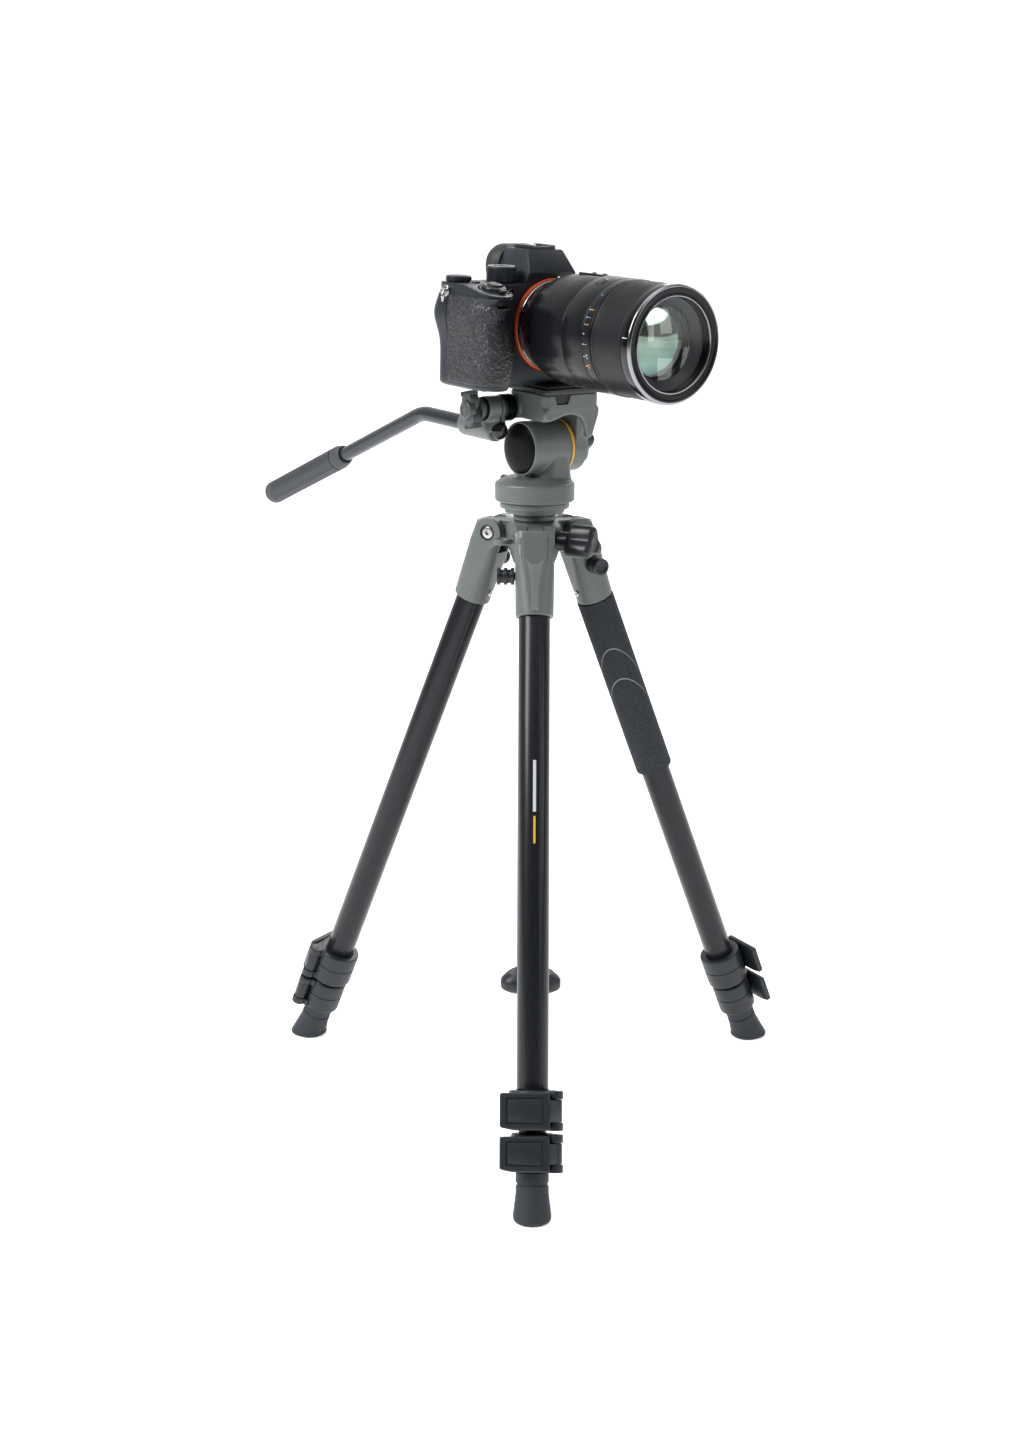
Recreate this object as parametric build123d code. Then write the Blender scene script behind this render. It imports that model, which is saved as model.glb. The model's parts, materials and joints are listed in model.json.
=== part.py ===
from build123d import *
import os
from math import atan, cos, degrees, radians, sin

# A mirrorless camera with a long lens on a three-section travel tripod with a two-way head.
# Millimetres, +Z up. The origin is on the floor, on the axis of the centre column.
# The front leg points along -Y. Head and camera turn with the pan angle.

# Fits
fit_gap = 0.05  # glued and pressed pieces, radial
run_gap = 0.06  # shafts that turn in their holes, radial
free_gap = 0.35  # pieces that pass each other

# Legs
leg_azimuths = {"front": -90, "right": 30, "left": 150}
leg_splay = 22.3
pivot_radius = 31.8
upper_tube_d = 22.0
tube_wall = 1.1
slide_gap = 0.4
casting_length = 55.2
casting_width = 28.0
casting_outer = 13.6
casting_inner = 10.6
casting_wall = 2.5
ear_radius = 11.0
lug_radius = 9.5
lug_width = 12.6
slot_floor = 13.0
tube_seat = 20.7
upper_tube_visible = 329.4
upper_collar_height = 26.7
lower_collar_height = 25.6
collar_gap = 2.4
foot_gap = 0.8
foot_length = 30.2
foot_width = 26.2
foot_depth = 29.0
middle_tube_top = 70.0
lower_tube_top = 100.0
foam_length = 150.0
foam_wall = 3.0

# Leg locks
lock_wall = 5.3
lock_lip = 3.3
hinge_x = 15.5
hinge_y = 12.0
hinge_ear_r = 5.3
hinge_barrel_r = 4.6
hinge_ear_height = 5.6
lever_reach = 22.5
lever_thickness = 4.2

# Pivot bolts and angle pins
bolt_r = 3.0
bolt_head_r = 5.4
bolt_head_depth = 2.3
pin_station = 25.6
pin_knob_r = 6.1
pin_knob_length = 12.6
pin_depth = 8.0

# Shoulder and column
hub_r = 20.3
hub_foot_r = 14.6
hub_above = 10.5
hub_below = 22.0
column_d = 22.0
column_wall = 1.5
column_length = 352.0
eyelet_reach = 26.6
eyelet_r = 6.4
eyelet_hole_r = 3.3
eyelet_thickness = 4.0
hook_reach = 20.6
hook_lobe_r = 5.2
hook_height = 15.0

# Head
pan_angle = 36.65
tilt_angle = 2.465
base_r = 28.8
base_height = 13.6
base_cone = 5.6
tilt_axis_above_base = 38.0
drum_r = 19.5
drum_left = 13.0
drum_right = 20.0
cap_r = 18.3
cap_height = 2.6
arm_thickness = 13.4
arm_r = 18.6
platform_left = 9.2
platform_right = 40.3
platform_half_depth = 22.5
platform_top = 40.2
platform_thickness = 12.4
plate_thickness = 3.6
pad_thickness = 2.1
keel_top = 16.0
keel_bottom = 9.2
keel_depth = 6.8
keel_x = 6.0
clamp_y = 14.0
clamp_z = 28.0
clamp_r = 9.0
clamp_start = 13.2
clamp_length = 24.0
bar_d = 11.0
bar_drop = 15.4
sleeve_wall = 3.0
sleeve_front = 11.5
sleeve_length = 38.5
bar_level_run = 96.0
bar_slope = 23.6
bar_bend_r = 42.0
bar_down_run = 240.0
grip_start_run = 118.0
grip_d = 18.5

# Camera
flange_forward = 13.2
flange_side = 2.16
body_left = 71.0
body_right = 55.0
body_front = 4.0
body_back = 41.5
body_below = 41.5
deck_height = 29.0
cover_height = 7.0
shell_wall = 3.5
grip_nose = 20.0
grip_skin = 1.0
hump_height = 51.3
hump_top_half = 15.7
hump_bottom_half = 21.0
mount_ring_r = 32.6
mount_throat_r = 23.5
lens_length = 130.5
lens_r = 39.5
focus_start = 90.0
focus_end = 121.0
focus_core_r = 35.0
filter_r = 31.0
front_glass_r = 22.5
lens_bore_r = 20.0
mode_dial_r = 10.5
exposure_dial_r = 9.0
front_dial_r = 9.0
shutter_stem = 2.6
screen_width = 79.0
screen_height = 52.0
screen_thickness = 5.2

# Worked out from the sizes above
upper_r = upper_tube_d / 2
middle_r = upper_r - tube_wall - slide_gap
lower_r = middle_r - tube_wall - slide_gap
tube_top = casting_length - tube_seat
pin_face = max(casting_width / 2, upper_r + casting_wall)
upper_collar_top = casting_length + upper_tube_visible
upper_collar_end = upper_collar_top + upper_collar_height
lower_collar_top = upper_collar_end + collar_gap
lower_collar_end = lower_collar_top + lower_collar_height
foot_top = lower_collar_end + foot_gap
leg_length = foot_top + foot_length
pivot_height = leg_length * cos(radians(leg_splay))
hub_top = pivot_height + hub_above
knob_axis_height = pivot_height - 3.5
base_bottom = hub_top + 14.2
tilt_axis_height = base_bottom + tilt_axis_above_base
camera_floor = platform_top + plate_thickness + pad_thickness + free_gap
lens_axis_above_tilt = camera_floor + body_below
deck_slope = 11.8
axle_r = 6.0
stud_r = 3.0
hidden = 1.0

os.makedirs("parts", exist_ok=True)


def block(x0, x1, y0, y1, z0, z1):
    middle = Pos((x0 + x1) / 2, (y0 + y1) / 2, (z0 + z1) / 2)
    return middle * Box(x1 - x0, y1 - y0, z1 - z0)


def disc(r, z0, z1, x=0, y=0):
    return Pos(x, y, (z0 + z1) / 2) * Cylinder(r, z1 - z0)


def rod_x(r, x0, x1, y=0, z=0):
    return Pos((x0 + x1) / 2, y, z) * Rot(0, 90, 0) * Cylinder(r, x1 - x0)


def rod_y(r, y0, y1, x=0, z=0):
    return Pos(x, (y0 + y1) / 2, z) * Rot(90, 0, 0) * Cylinder(r, y1 - y0)


def turned(points):
    """A solid of revolution about Z from its (radius, height) outline."""
    outline = Polyline(*[(r, 0, z) for r, z in points], close=True)
    return revolve(make_face(outline), Axis.Z)


def prism(points, z0, z1):
    """An upright prism from its plan outline."""
    outline = make_face(Polyline(*[(x, y, z0) for x, y in points], close=True))
    return extrude(outline, z1 - z0, dir=(0, 0, 1))


def save(name, shape, place=Location((0, 0, 0))):
    placed = place * shape
    export_step(Compound(children=list(placed.solids())), f"parts/{name}.step")


# ---------------------------------------------------------------- leg pieces
# Leg frame: origin on the pivot, the leg runs down along -Z, -Y is its outer face.


def leg_place(side):
    azimuth = leg_azimuths[side]
    turn = Rot(0, 0, azimuth + 90)
    return turn * Pos(0, -pivot_radius, pivot_height) * Rot(-leg_splay, 0, 0)


def casting_outline(inset, above, below):
    depth = casting_outer + casting_inner
    centre_y = (casting_inner - casting_outer) / 2
    neck = RectangleRounded(casting_width - 2 * inset, depth - 2 * inset, 7 - inset)
    round_end = 2 * (upper_r + casting_wall)
    tail = RectangleRounded(round_end - 2 * inset, round_end - 2 * inset, round_end / 2 - 0.1 - inset)
    tapered = loft([Pos(0, centre_y, -ear_radius) * neck, Pos(0, 0, -casting_length - below) * tail])
    straight = Pos(0, centre_y, -ear_radius) * extrude(neck, ear_radius + above)
    return straight, tapered


def leg_casting():
    straight, tapered = casting_outline(0, ear_radius, 0)
    half = casting_width / 2
    cheeks = rod_x(ear_radius, -half, half)
    cheeks += block(-half, half, -casting_outer, casting_inner, -ear_radius, 0)
    cheeks += block(-half, half, -casting_outer, -casting_outer + 3.4, -ear_radius, 4.5)
    casting = (straight & cheeks) + tapered
    casting -= block(
        -lug_width / 2 - free_gap,
        lug_width / 2 + free_gap,
        -lug_radius - 0.7,
        casting_inner + hidden,
        -slot_floor,
        ear_radius + hidden,
    )
    casting -= disc(upper_r + fit_gap, -casting_length - hidden, -tube_top + fit_gap)
    casting -= rod_x(bolt_r + run_gap, -half - hidden, half + hidden)
    for side in (-1, 1):
        seat = side * (half - bolt_head_depth)
        casting -= rod_x(bolt_head_r + free_gap, min(seat, side * 20), max(seat, side * 20))
    casting -= rod_x(bolt_r + run_gap, -pin_face - hidden, -pin_face + pin_depth + 1, 0, -pin_station)
    inner = casting_outline(0.7, ear_radius, 1)
    for side in (-1, 1):
        lean = degrees(atan(3.4 / casting_length))
        blade = block(-0.45, 0.45, -20, 0, -casting_length - 5, 0)
        groove = Pos(side * 10.4, 0, 0) * Rot(0, side * lean, 0) * blade
        casting -= groove - inner[1] - inner[0]
    return casting


def leg_tube(r, top, bottom):
    return disc(r, -bottom, -top) - disc(r - tube_wall, -bottom - hidden, -top + hidden)


def collar(tube_r, next_r, height):
    """Clamp collar in its own frame, with two hinge ears for the flip lever."""
    ring_r = tube_r + lock_wall
    half = height / 2
    body = disc(ring_r, -half, half)
    for low, high in ((-half, -half + hinge_ear_height), (half - hinge_ear_height, half)):
        body += disc(hinge_ear_r, low, high, hinge_x, -hinge_y)
        body += block(4, hinge_x, 0.4 - ring_r, -2, low, high)
    body -= disc(tube_r + fit_gap, -half + lock_lip, half + hidden)
    body -= disc(next_r + slide_gap, -half - hidden, half)
    gap = half - hinge_ear_height
    body -= disc(hinge_barrel_r + free_gap, -gap, gap, hinge_x, -hinge_y)
    body -= disc(1.5 + run_gap, -half - hidden, half + hidden, hinge_x, -hinge_y)
    return body


def flip_lever(tube_r, height):
    """Flip lever in its collar's frame, closed against the collar."""
    face = tube_r + lock_wall + 0.9
    half = height / 2
    front = Polyline(
        (-lever_reach, 0, -half + 2.6),
        (-lever_reach, 0, half - 1.2),
        (hinge_x - 5, 0, half - 0.6),
        (hinge_x - 5, 0, -half + 0.4),
        (-lever_reach + 8, 0, -half + 0.9),
        close=True,
    )
    plate = Pos(0, -face, 0) * extrude(make_face(front), lever_thickness, dir=(0, -1, 0))
    rim = plate.faces().sort_by(Axis.Y)[0].edges()
    plate = chamfer(rim, 1.5)
    plate -= block(
        -lever_reach + 4.5, hinge_x - 7, -face - 10, 0.7 - face - lever_thickness, 4.4 - half, half - 3.8
    )
    reach = half - hinge_ear_height - free_gap
    web = prism(
        [
            (hinge_x - 7.5, -face),
            (hinge_x - 7.5, 0.6 - face - lever_thickness),
            (hinge_x - 4, 0.6 - face - lever_thickness),
            (hinge_x + 3.2, -hinge_y - 3.3),
            (hinge_x, -hinge_y),
            (hinge_x - 3.9, -hinge_y - 2.2),
        ],
        -reach,
        reach,
    )
    barrel = disc(hinge_barrel_r, -reach, reach, hinge_x, -hinge_y)
    pin = disc(1.5, -half + 0.2, half - 0.2, hinge_x, -hinge_y)
    return plate + web + barrel + pin


def foot():
    """Rubber boot with a flat sole that lies on the floor at the standing splay."""
    floor = Pos(0, 0, -leg_length) * Rot(leg_splay, 0, 0)
    boot_r = lower_r + 3.4
    ankle_drop = 0.45 * foot_length
    rise = foot_length - ankle_drop
    ankle = Rot(-leg_splay, 0, 0) * Pos(0, 0, rise) * RectangleRounded(2 * boot_r, 2 * boot_r, boot_r - 0.1)
    sole = RectangleRounded(foot_width, foot_depth, foot_width / 2 - 1)
    boot = loft([sole, ankle])
    boot = fillet(boot.faces().sort_by(Axis.Z)[0].edges(), 3.0)
    boot = floor * boot
    boot += disc(boot_r, -foot_top - ankle_drop, -foot_top)
    return boot - disc(lower_r + fit_gap, -foot_top - ankle_drop, -foot_top + hidden)


def angle_pin():
    """Pull pin with three ribs, pointing out of the casting's left cheek."""
    start = -pin_face - free_gap
    pin = rod_x(bolt_r, -pin_face + 0.2, -pin_face + pin_depth, 0, -pin_station)
    pin += rod_x(bolt_r, start - 2, -pin_face + 1, 0, -pin_station)
    rib = pin_knob_length / 5
    for i in range(5):
        r = pin_knob_r if i % 2 == 0 else pin_knob_r - 1.1
        pin += rod_x(r, start - (i + 1) * rib, start - i * rib, 0, -pin_station)
    return pin


for side in leg_azimuths:
    place = leg_place(side)
    upper_at = place * Pos(0, 0, -(upper_collar_top + upper_collar_end) / 2)
    lower_at = place * Pos(0, 0, -(lower_collar_top + lower_collar_end) / 2)
    upper_end = upper_collar_end - lock_lip
    lower_end = lower_collar_end - lock_lip
    foot_seat = foot_top + 0.45 * foot_length - fit_gap
    lower_collar = Pos(0, 0, -(lower_collar_top + lower_collar_end) / 2)
    lower_collar *= collar(middle_r, lower_r, lower_collar_height)
    middle = Compound(children=[leg_tube(middle_r, middle_tube_top, lower_end - fit_gap), lower_collar])
    lower = Compound(children=[leg_tube(lower_r, lower_tube_top, foot_seat), foot()])
    save(f"{side}_leg_casting", leg_casting(), place)
    save(f"{side}_upper_tube", leg_tube(upper_r, tube_top, upper_end - fit_gap), place)
    save(f"{side}_upper_collar", collar(upper_r, middle_r, upper_collar_height), upper_at)
    save(f"{side}_upper_lever", flip_lever(upper_r, upper_collar_height), upper_at)
    save(f"{side}_middle_section", middle, place)
    save(f"{side}_lower_lever", flip_lever(middle_r, lower_collar_height), lower_at)
    save(f"{side}_lower_section", lower, place)
    save(f"{side}_angle_pin", angle_pin(), place)

foam = disc(upper_r + foam_wall, -casting_length - foam_length, -casting_length - 0.3)
foam -= disc(upper_r + fit_gap, -casting_length - foam_length - hidden, -casting_length)
save("right_foam_grip", foam, leg_place("right"))

# ---------------------------------------------------------------- shoulder and column

shoulder = turned(
    [
        (0, hub_top),
        (hub_r - 4.3, hub_top),
        (hub_r, hub_top - 5),
        (hub_r, pivot_height - 6),
        (hub_foot_r, pivot_height - hub_below),
        (0, pivot_height - hub_below),
    ]
)
bolts = []
for azimuth in leg_azimuths.values():
    turn = Rot(0, 0, azimuth + 90)
    half = casting_width / 2
    arm = block(-lug_width / 2, lug_width / 2, -pivot_radius, 0, -lug_radius, lug_radius)
    arm += rod_x(lug_radius, -lug_width / 2, lug_width / 2, -pivot_radius)
    arm -= rod_x(bolt_r + fit_gap, -half, half, -pivot_radius)
    shoulder += turn * Pos(0, 0, pivot_height) * arm
    bolt = rod_x(bolt_r, -half + 1, half - 1)
    for side in (-1, 1):
        seat = side * (half - bolt_head_depth + free_gap)
        face = side * (half + 0.4)
        bolt += rod_x(bolt_head_r, min(seat, face), max(seat, face))
        socket = Rot(0, 90, 0) * extrude(RegularPolygon(1.9, 6), 2.2)
        bolt -= Pos(face - (2.2 if side > 0 else 0), 0, 0) * socket
    bolts.append(turn * Pos(0, -pivot_radius, pivot_height) * bolt)

column_r = column_d / 2
eyelet = disc(eyelet_r, -eyelet_thickness / 2, eyelet_thickness / 2, 0, -eyelet_reach)
eyelet += block(-4.4, 4.4, -eyelet_reach, -hub_foot_r, -eyelet_thickness / 2, eyelet_thickness / 2)
eyelet -= disc(eyelet_hole_r, -5, 5, 0, -eyelet_reach)
shoulder += Rot(0, 0, -60) * Pos(0, 0, knob_axis_height) * eyelet
knob_turn = Rot(0, 0, 60) * Pos(0, 0, knob_axis_height)
shoulder -= disc(column_r + free_gap, 0, hub_top + hidden)
shoulder -= knob_turn * rod_y(stud_r + run_gap, -hub_r - 5, -column_r)
save("shoulder", shoulder)
save("pivot_bolts", Compound(children=bolts))


def lobed_knob(r, lobes, length):
    """Hand knob about Z from 0 to its length, with rounded lobes."""
    knob = disc(0.7 * r, 0, length)
    for i in range(lobes):
        knob += Rot(0, 0, i * 360 / lobes) * disc(0.42 * r, 0, length, 0.58 * r, 0)
    return knob


column_knob = Rot(90, 0, 0) * (
    disc(7.3, hub_r + free_gap, hub_r + 9.5)
    + Pos(0, 0, hub_r + 9.5) * lobed_knob(13.4, 3, 20.5)
    + disc(stud_r, column_r + 1.5, hub_r + 2)
)
save("column_knob", column_knob, knob_turn)

column_top = hub_top + 0.3
column_bottom = column_top - column_length
column = disc(column_r, column_bottom, column_top)
column -= disc(column_r - column_wall, column_bottom - hidden, column_top + hidden)
save("column_tube", column)

plate_r = 15.4
screw_top = base_bottom - 1.5
top_plate = disc(plate_r, column_top, column_top + 3.4)
top_plate += disc(column_r - column_wall - fit_gap, column_top - 16, column_top)
top_plate += disc(4.7, column_top, screw_top - fit_gap)
top_plate -= block(-2.6, 2.6, -plate_r - hidden, 2 - plate_r, column_top + 1, column_top + 4)
save("column_top_plate", top_plate)

lobes = [Rot(0, 0, a) * Pos(0, -hook_reach, 0) * Circle(hook_lobe_r) for a in (60, 180, 300)]
hook_outline = make_face(make_hull([edge for lobe in lobes for edge in lobe.edges()]))
hook = extrude(hook_outline, hook_height)
hook = chamfer(hook.faces().sort_by(Axis.Z)[-1].edges(), 4.5)
hook = chamfer(hook.faces().sort_by(Axis.Z)[0].edges(), 4.5)
hook = Pos(0, 0, column_bottom - hook_height + 4) * hook
hook -= disc(column_r + fit_gap, column_bottom - fit_gap, column_bottom + 20)
hook += disc(column_r - column_wall - fit_gap, column_bottom - 5, column_bottom + 10)
save("column_hook", hook)

# ---------------------------------------------------------------- two-way head
# Head frame: +Z up, -Y is the way the lens looks, -X is the camera's grip side.

head = Rot(0, 0, pan_angle)
ring_1 = column_top + 3.4
spindle_r = 8.0
pan_base = disc(14.2, ring_1, ring_1 + 2.2) + disc(21.6, ring_1 + 2.2, ring_1 + 6)
pan_base += disc(25.2, ring_1 + 6, base_bottom - free_gap)
pan_base += disc(spindle_r, base_bottom - free_gap, base_bottom + base_height - 3)
pan_base -= disc(4.7 + fit_gap, ring_1 - hidden, screw_top)
save("pan_base", pan_base)

base_top = base_bottom + base_height
axis_z = tilt_axis_height
housing = turned(
    [
        (0, base_bottom),
        (base_r - 2.2, base_bottom),
        (base_r, base_bottom + 1.6),
        (base_r, base_top),
        (drum_r - 1.5, base_top + base_cone),
        (0, base_top + base_cone),
    ]
)
stem_half = drum_r - 1.2
housing += block(1.5, drum_right, -stem_half, stem_half, base_bottom + 4, axis_z)
housing &= disc(base_r, base_bottom, axis_z + drum_r)
housing += rod_x(drum_r, -drum_left, drum_right, 0, axis_z)
housing += rod_x(drum_r + 0.7, drum_right - 1, drum_right + 0.6, 0, axis_z)
arm_start = drum_right + 0.6 + free_gap
arm_end = arm_start + arm_thickness
housing += rod_x(axle_r, drum_right, arm_end - 3, 0, axis_z)
housing += rod_x(stud_r, drum_right, arm_end + 8, 0, axis_z)
housing -= disc(spindle_r + run_gap, base_bottom - hidden, base_top - 3 + free_gap)
housing -= rod_y(stud_r + run_gap, spindle_r, base_r + hidden, 0, base_bottom + 7)
save("pan_housing", housing, head)

pan_knob = Rot(-90, 0, 0) * (
    disc(stud_r, spindle_r + 1.5, base_r + 3)
    + disc(5.5, base_r + free_gap, base_r + 3)
    + Pos(0, 0, base_r + 3) * lobed_knob(10.5, 3, 11)
)
save("pan_knob", pan_knob, head * Pos(0, 0, base_bottom + 7))

cap_face = Pos(-drum_left - fit_gap, 0, axis_z) * Rot(0, -90, 0)
cap = Cylinder(cap_r, cap_height, align=(Align.CENTER, Align.CENTER, Align.MIN))
cap = fillet(cap.faces().sort_by(Axis.Z)[-1].edges(), cap_height - 0.8)
save("tilt_cap", cap_face * cap, head)

# Tilt frame: origin on the tilt axis, turned nose down with the camera.
tilting = head * Pos(0, 0, axis_z) * Rot(tilt_angle, 0, 0)
deck_z = platform_top - platform_thickness
bracket = rod_x(arm_r, arm_start, arm_end)
bracket += block(arm_start + 2, arm_end, -arm_r, arm_r, 0, deck_z)
platform = Pos((platform_right - platform_left) / 2, 0, deck_z) * extrude(
    RectangleRounded(platform_right + platform_left, 2 * platform_half_depth, 7), platform_thickness
)
gusset = prism([(arm_end - 8, -19), (platform_right, -19), (platform_right, 19), (arm_end - 8, 19)], 22.6, deck_z)
bracket += platform + gusset
bracket += block(-platform_left, -2.5, 6.2, platform_half_depth - 0.3, 19.6, deck_z)
bracket += rod_x(8.4, -clamp_start + free_gap, -platform_left, clamp_y, clamp_z)
stud_end = -clamp_start - clamp_length - 9
bracket += rod_x(stud_r, stud_end, 1 - clamp_start, clamp_y, clamp_z)
bracket -= rod_x(axle_r + run_gap, arm_start - hidden, arm_end - 3 + free_gap)
bracket -= rod_x(stud_r + run_gap, arm_start, arm_end + hidden)
bracket -= rod_x(drum_r + 0.7 + free_gap, -drum_left - 5, arm_start)
channel = [
    (keel_x - keel_bottom / 2 - free_gap, -keel_depth - free_gap),
    (keel_x - keel_top / 2 - free_gap, hidden),
    (keel_x + keel_top / 2 + free_gap, hidden),
    (keel_x + keel_bottom / 2 + free_gap, -keel_depth - free_gap),
]
groove = make_face(Polyline(*[(x, 0, platform_top + z) for x, z in channel], close=True))
bracket -= Pos(0, 40, 0) * extrude(groove, 80, dir=(0, -1, 0))
lever_x = 31.0
lever_y = platform_half_depth + 6.6
bracket += disc(6.0, deck_z + 4.6, platform_top - 1, lever_x, lever_y)
bracket += block(lever_x - 6, lever_x + 6, platform_half_depth - 4, lever_y, deck_z + 4.6, platform_top - 1)
bracket -= disc(2.0 + run_gap, deck_z, platform_top - 4, lever_x, lever_y)
save("tilt_bracket", bracket, tilting)

tilt_knob = Rot(0, 90, 0) * (
    Pos(0, 0, arm_end + 2) * lobed_knob(13.4, 3, 10)
    + disc(6, arm_end + free_gap, arm_end + 3)
    - disc(stud_r + run_gap, arm_end, arm_end + 8.5)
)
save("tilt_knob", tilt_knob, tilting)

lever = disc(6.0, deck_z - 0.6, deck_z + 4.6 - free_gap, lever_x, lever_y)
lever += block(lever_x - 32, lever_x, lever_y - 2.6, lever_y + 2.8, deck_z - 0.2, deck_z + 3.8)
lever += disc(2.0, deck_z, platform_top - 4.5, lever_x, lever_y)
save("qr_lever", lever, tilting)

plate_low = platform_top + free_gap
plate_high = plate_low + plate_thickness
qr_plate = block(-platform_left - 0.3, platform_right - 0.3, -24, 25, plate_low, plate_high)
qr_plate = chamfer(qr_plate.edges().filter_by(Axis.Z), 2.0)
keel = [
    (keel_x - keel_bottom / 2, -keel_depth),
    (keel_x - keel_top / 2, 0.5),
    (keel_x + keel_top / 2, 0.5),
    (keel_x + keel_bottom / 2, -keel_depth),
]
keel_face = make_face(Polyline(*[(x, 0, plate_low + z) for x, z in keel], close=True))
qr_plate += Pos(0, platform_half_depth - 1, 0) * extrude(keel_face, 2 * platform_half_depth - 2, dir=(0, -1, 0))
qr_plate += block(-platform_left + 2, platform_right - 3, -21.5, 22.5, plate_high, camera_floor)
screw_x = flange_side
screw_y = 30 - flange_forward
screw_r = 3.1
screw_depth = 5.0
qr_plate += disc(screw_r, plate_high, camera_floor + screw_depth, screw_x, screw_y)
save("qr_plate", qr_plate, tilting)

# Pan handle, hung on the side of the platform
bar_r = bar_d / 2
bar_x = -clamp_start - clamp_length / 2 - 0.8
bar_z = clamp_z - bar_drop
handle_clamp = rod_x(clamp_r, -clamp_start - clamp_length, -clamp_start, clamp_y, clamp_z)
sleeve_r = bar_r + sleeve_wall
handle_clamp += rod_y(sleeve_r, sleeve_front, sleeve_front + sleeve_length, bar_x, bar_z)
handle_clamp += block(bar_x - 6.5, bar_x + 6.5, clamp_y - 6.8, clamp_y + 6.8, bar_z, clamp_z)
handle_clamp += block(bar_x - 5.2, bar_x + 5.2, clamp_y, clamp_y + 22, bar_z, bar_z + 9.5)
handle_clamp -= rod_x(stud_r + run_gap, -clamp_start - clamp_length - hidden, -clamp_start + hidden, clamp_y, clamp_z)
handle_clamp -= rod_y(bar_r + fit_gap, sleeve_front - 20, sleeve_front + 60, bar_x, bar_z)
slit_half = 0.8
handle_clamp -= block(
    bar_x - slit_half, bar_x + slit_half, clamp_y - 20, clamp_y + 7.4, bar_z + 1, clamp_z + 20
)
save("handle_clamp", handle_clamp, tilting)

wing = Rot(0, -90, 0) * (disc(6.4, 0, 14) + block(-10.4, 10.4, -3.6, 3.6, 0, 10.5))
wing = Pos(-clamp_start - clamp_length - free_gap, clamp_y, clamp_z) * wing
wing -= rod_x(stud_r + run_gap, stud_end - 0.5, 0, clamp_y, clamp_z)
save("handle_knob", wing, tilting)

bar_start = Vector(bar_x, sleeve_front - 2.0, bar_z)
bar_bend = bar_start + Vector(0, bar_level_run, 0)
down = Vector(0, cos(radians(bar_slope)), -sin(radians(bar_slope)))
bar_end = bar_bend + down * bar_down_run
bar_path = FilletPolyline(bar_start, bar_bend, bar_end, radius=bar_bend_r)
bar_section = Plane(origin=bar_start, z_dir=(0, 1, 0)) * Circle(bar_r)
bar = sweep(bar_section, path=bar_path)
save("handle_bar", bar, tilting)

grip_r = grip_d / 2
grip_length = bar_down_run - grip_start_run + 5
sleeve = turned(
    [
        (0, 0),
        (bar_r + 1.4, 0),
        (grip_r, 9),
        (grip_r, grip_length - 5),
        (grip_r - 4, grip_length),
        (0, grip_length),
    ]
)
sleeve -= disc(bar_r + fit_gap, -hidden, grip_length - 5 + fit_gap)
grip_from = bar_bend + down * grip_start_run
save("handle_grip", sleeve, tilting * Plane(origin=grip_from, z_dir=down).location)

# ---------------------------------------------------------------- camera
# Camera frame: origin in the middle of the lens flange, -Y forward, -X the grip side.

camera = tilting * Pos(flange_side, -flange_forward, lens_axis_above_tilt)
outline = Polyline(
    (-body_left, body_back),
    (-body_left, -grip_nose + 11),
    (-body_left + 7, -grip_nose),
    (-50, -grip_nose),
    (-44.5, -grip_nose + 8),
    (-42.5, body_front),
    (body_right, body_front),
    (body_right, body_back),
    close=True,
)
plan = make_face(outline)
corner_radius = 5.0
convex = [v for v in plan.vertices() if v.X < -49 or v.X > body_right - 1]
plan = fillet(convex, corner_radius)
seam_z = deck_height - cover_height
wall = shell_wall
shell = Pos(0, 0, -body_below) * extrude(plan, seam_z + body_below)
floor_z = -body_below + wall
back_y = body_back - wall - screen_thickness + 1.5
shell -= block(-44, body_right - wall, body_front + wall, back_y, floor_z, seam_z + hidden)
shell -= block(-body_left + wall, -47, -grip_nose + 11, back_y, floor_z, seam_z + hidden)
shell -= block(-47.5, -43.5, body_front + wall, back_y, floor_z, seam_z + hidden)
dial_x = -54.0
dial_y = -grip_nose + 14
dial_low = seam_z - 7.2
dial_high = seam_z - 1.6
dial_block = block(-body_left, -44, -grip_nose, -grip_nose + 27, dial_low - 2.5, seam_z)
shell += dial_block & (Pos(0, 0, -body_below) * extrude(plan, seam_z + body_below))
shell -= disc(front_dial_r + free_gap, dial_low, dial_high, dial_x, dial_y)
shell -= block(dial_x - 8, dial_x + 8, -grip_nose - 5, dial_y - 3, dial_low, dial_high)
shell += disc(2.0, dial_low - 0.1, dial_high + 0.1, dial_x, dial_y)
shell -= rod_y(mount_throat_r + 0.5, 0, body_front + wall + hidden)
screen_x = 2.0
screen_low = -33.0
recess = free_gap
shell -= block(
    screen_x - screen_width / 2 - recess,
    screen_x + screen_width / 2 + recess,
    body_back - screen_thickness + 1.2,
    body_back + hidden,
    screen_low - recess,
    screen_low + screen_height + recess,
)
release_x = -37.2
release_z = -20.0
release_travel = 2.0
release_sink = release_travel + 0.6
shell -= rod_y(2.0 + run_gap, 0, body_front + wall + hidden, release_x, release_z)
shell -= rod_y(4.4 + free_gap, 0, body_front + release_sink, release_x, release_z)
shell -= disc(screw_r + fit_gap, -body_below - hidden, -body_below + screw_depth + 0.2, 0, 30)
shell_boss = disc(7, -body_below + wall, -body_below + screw_depth + 3, 0, 30)
shell += shell_boss - disc(screw_r + fit_gap, -body_below - hidden, -body_below + screw_depth + 0.2, 0, 30)
save("camera_shell", shell, camera)

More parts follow.
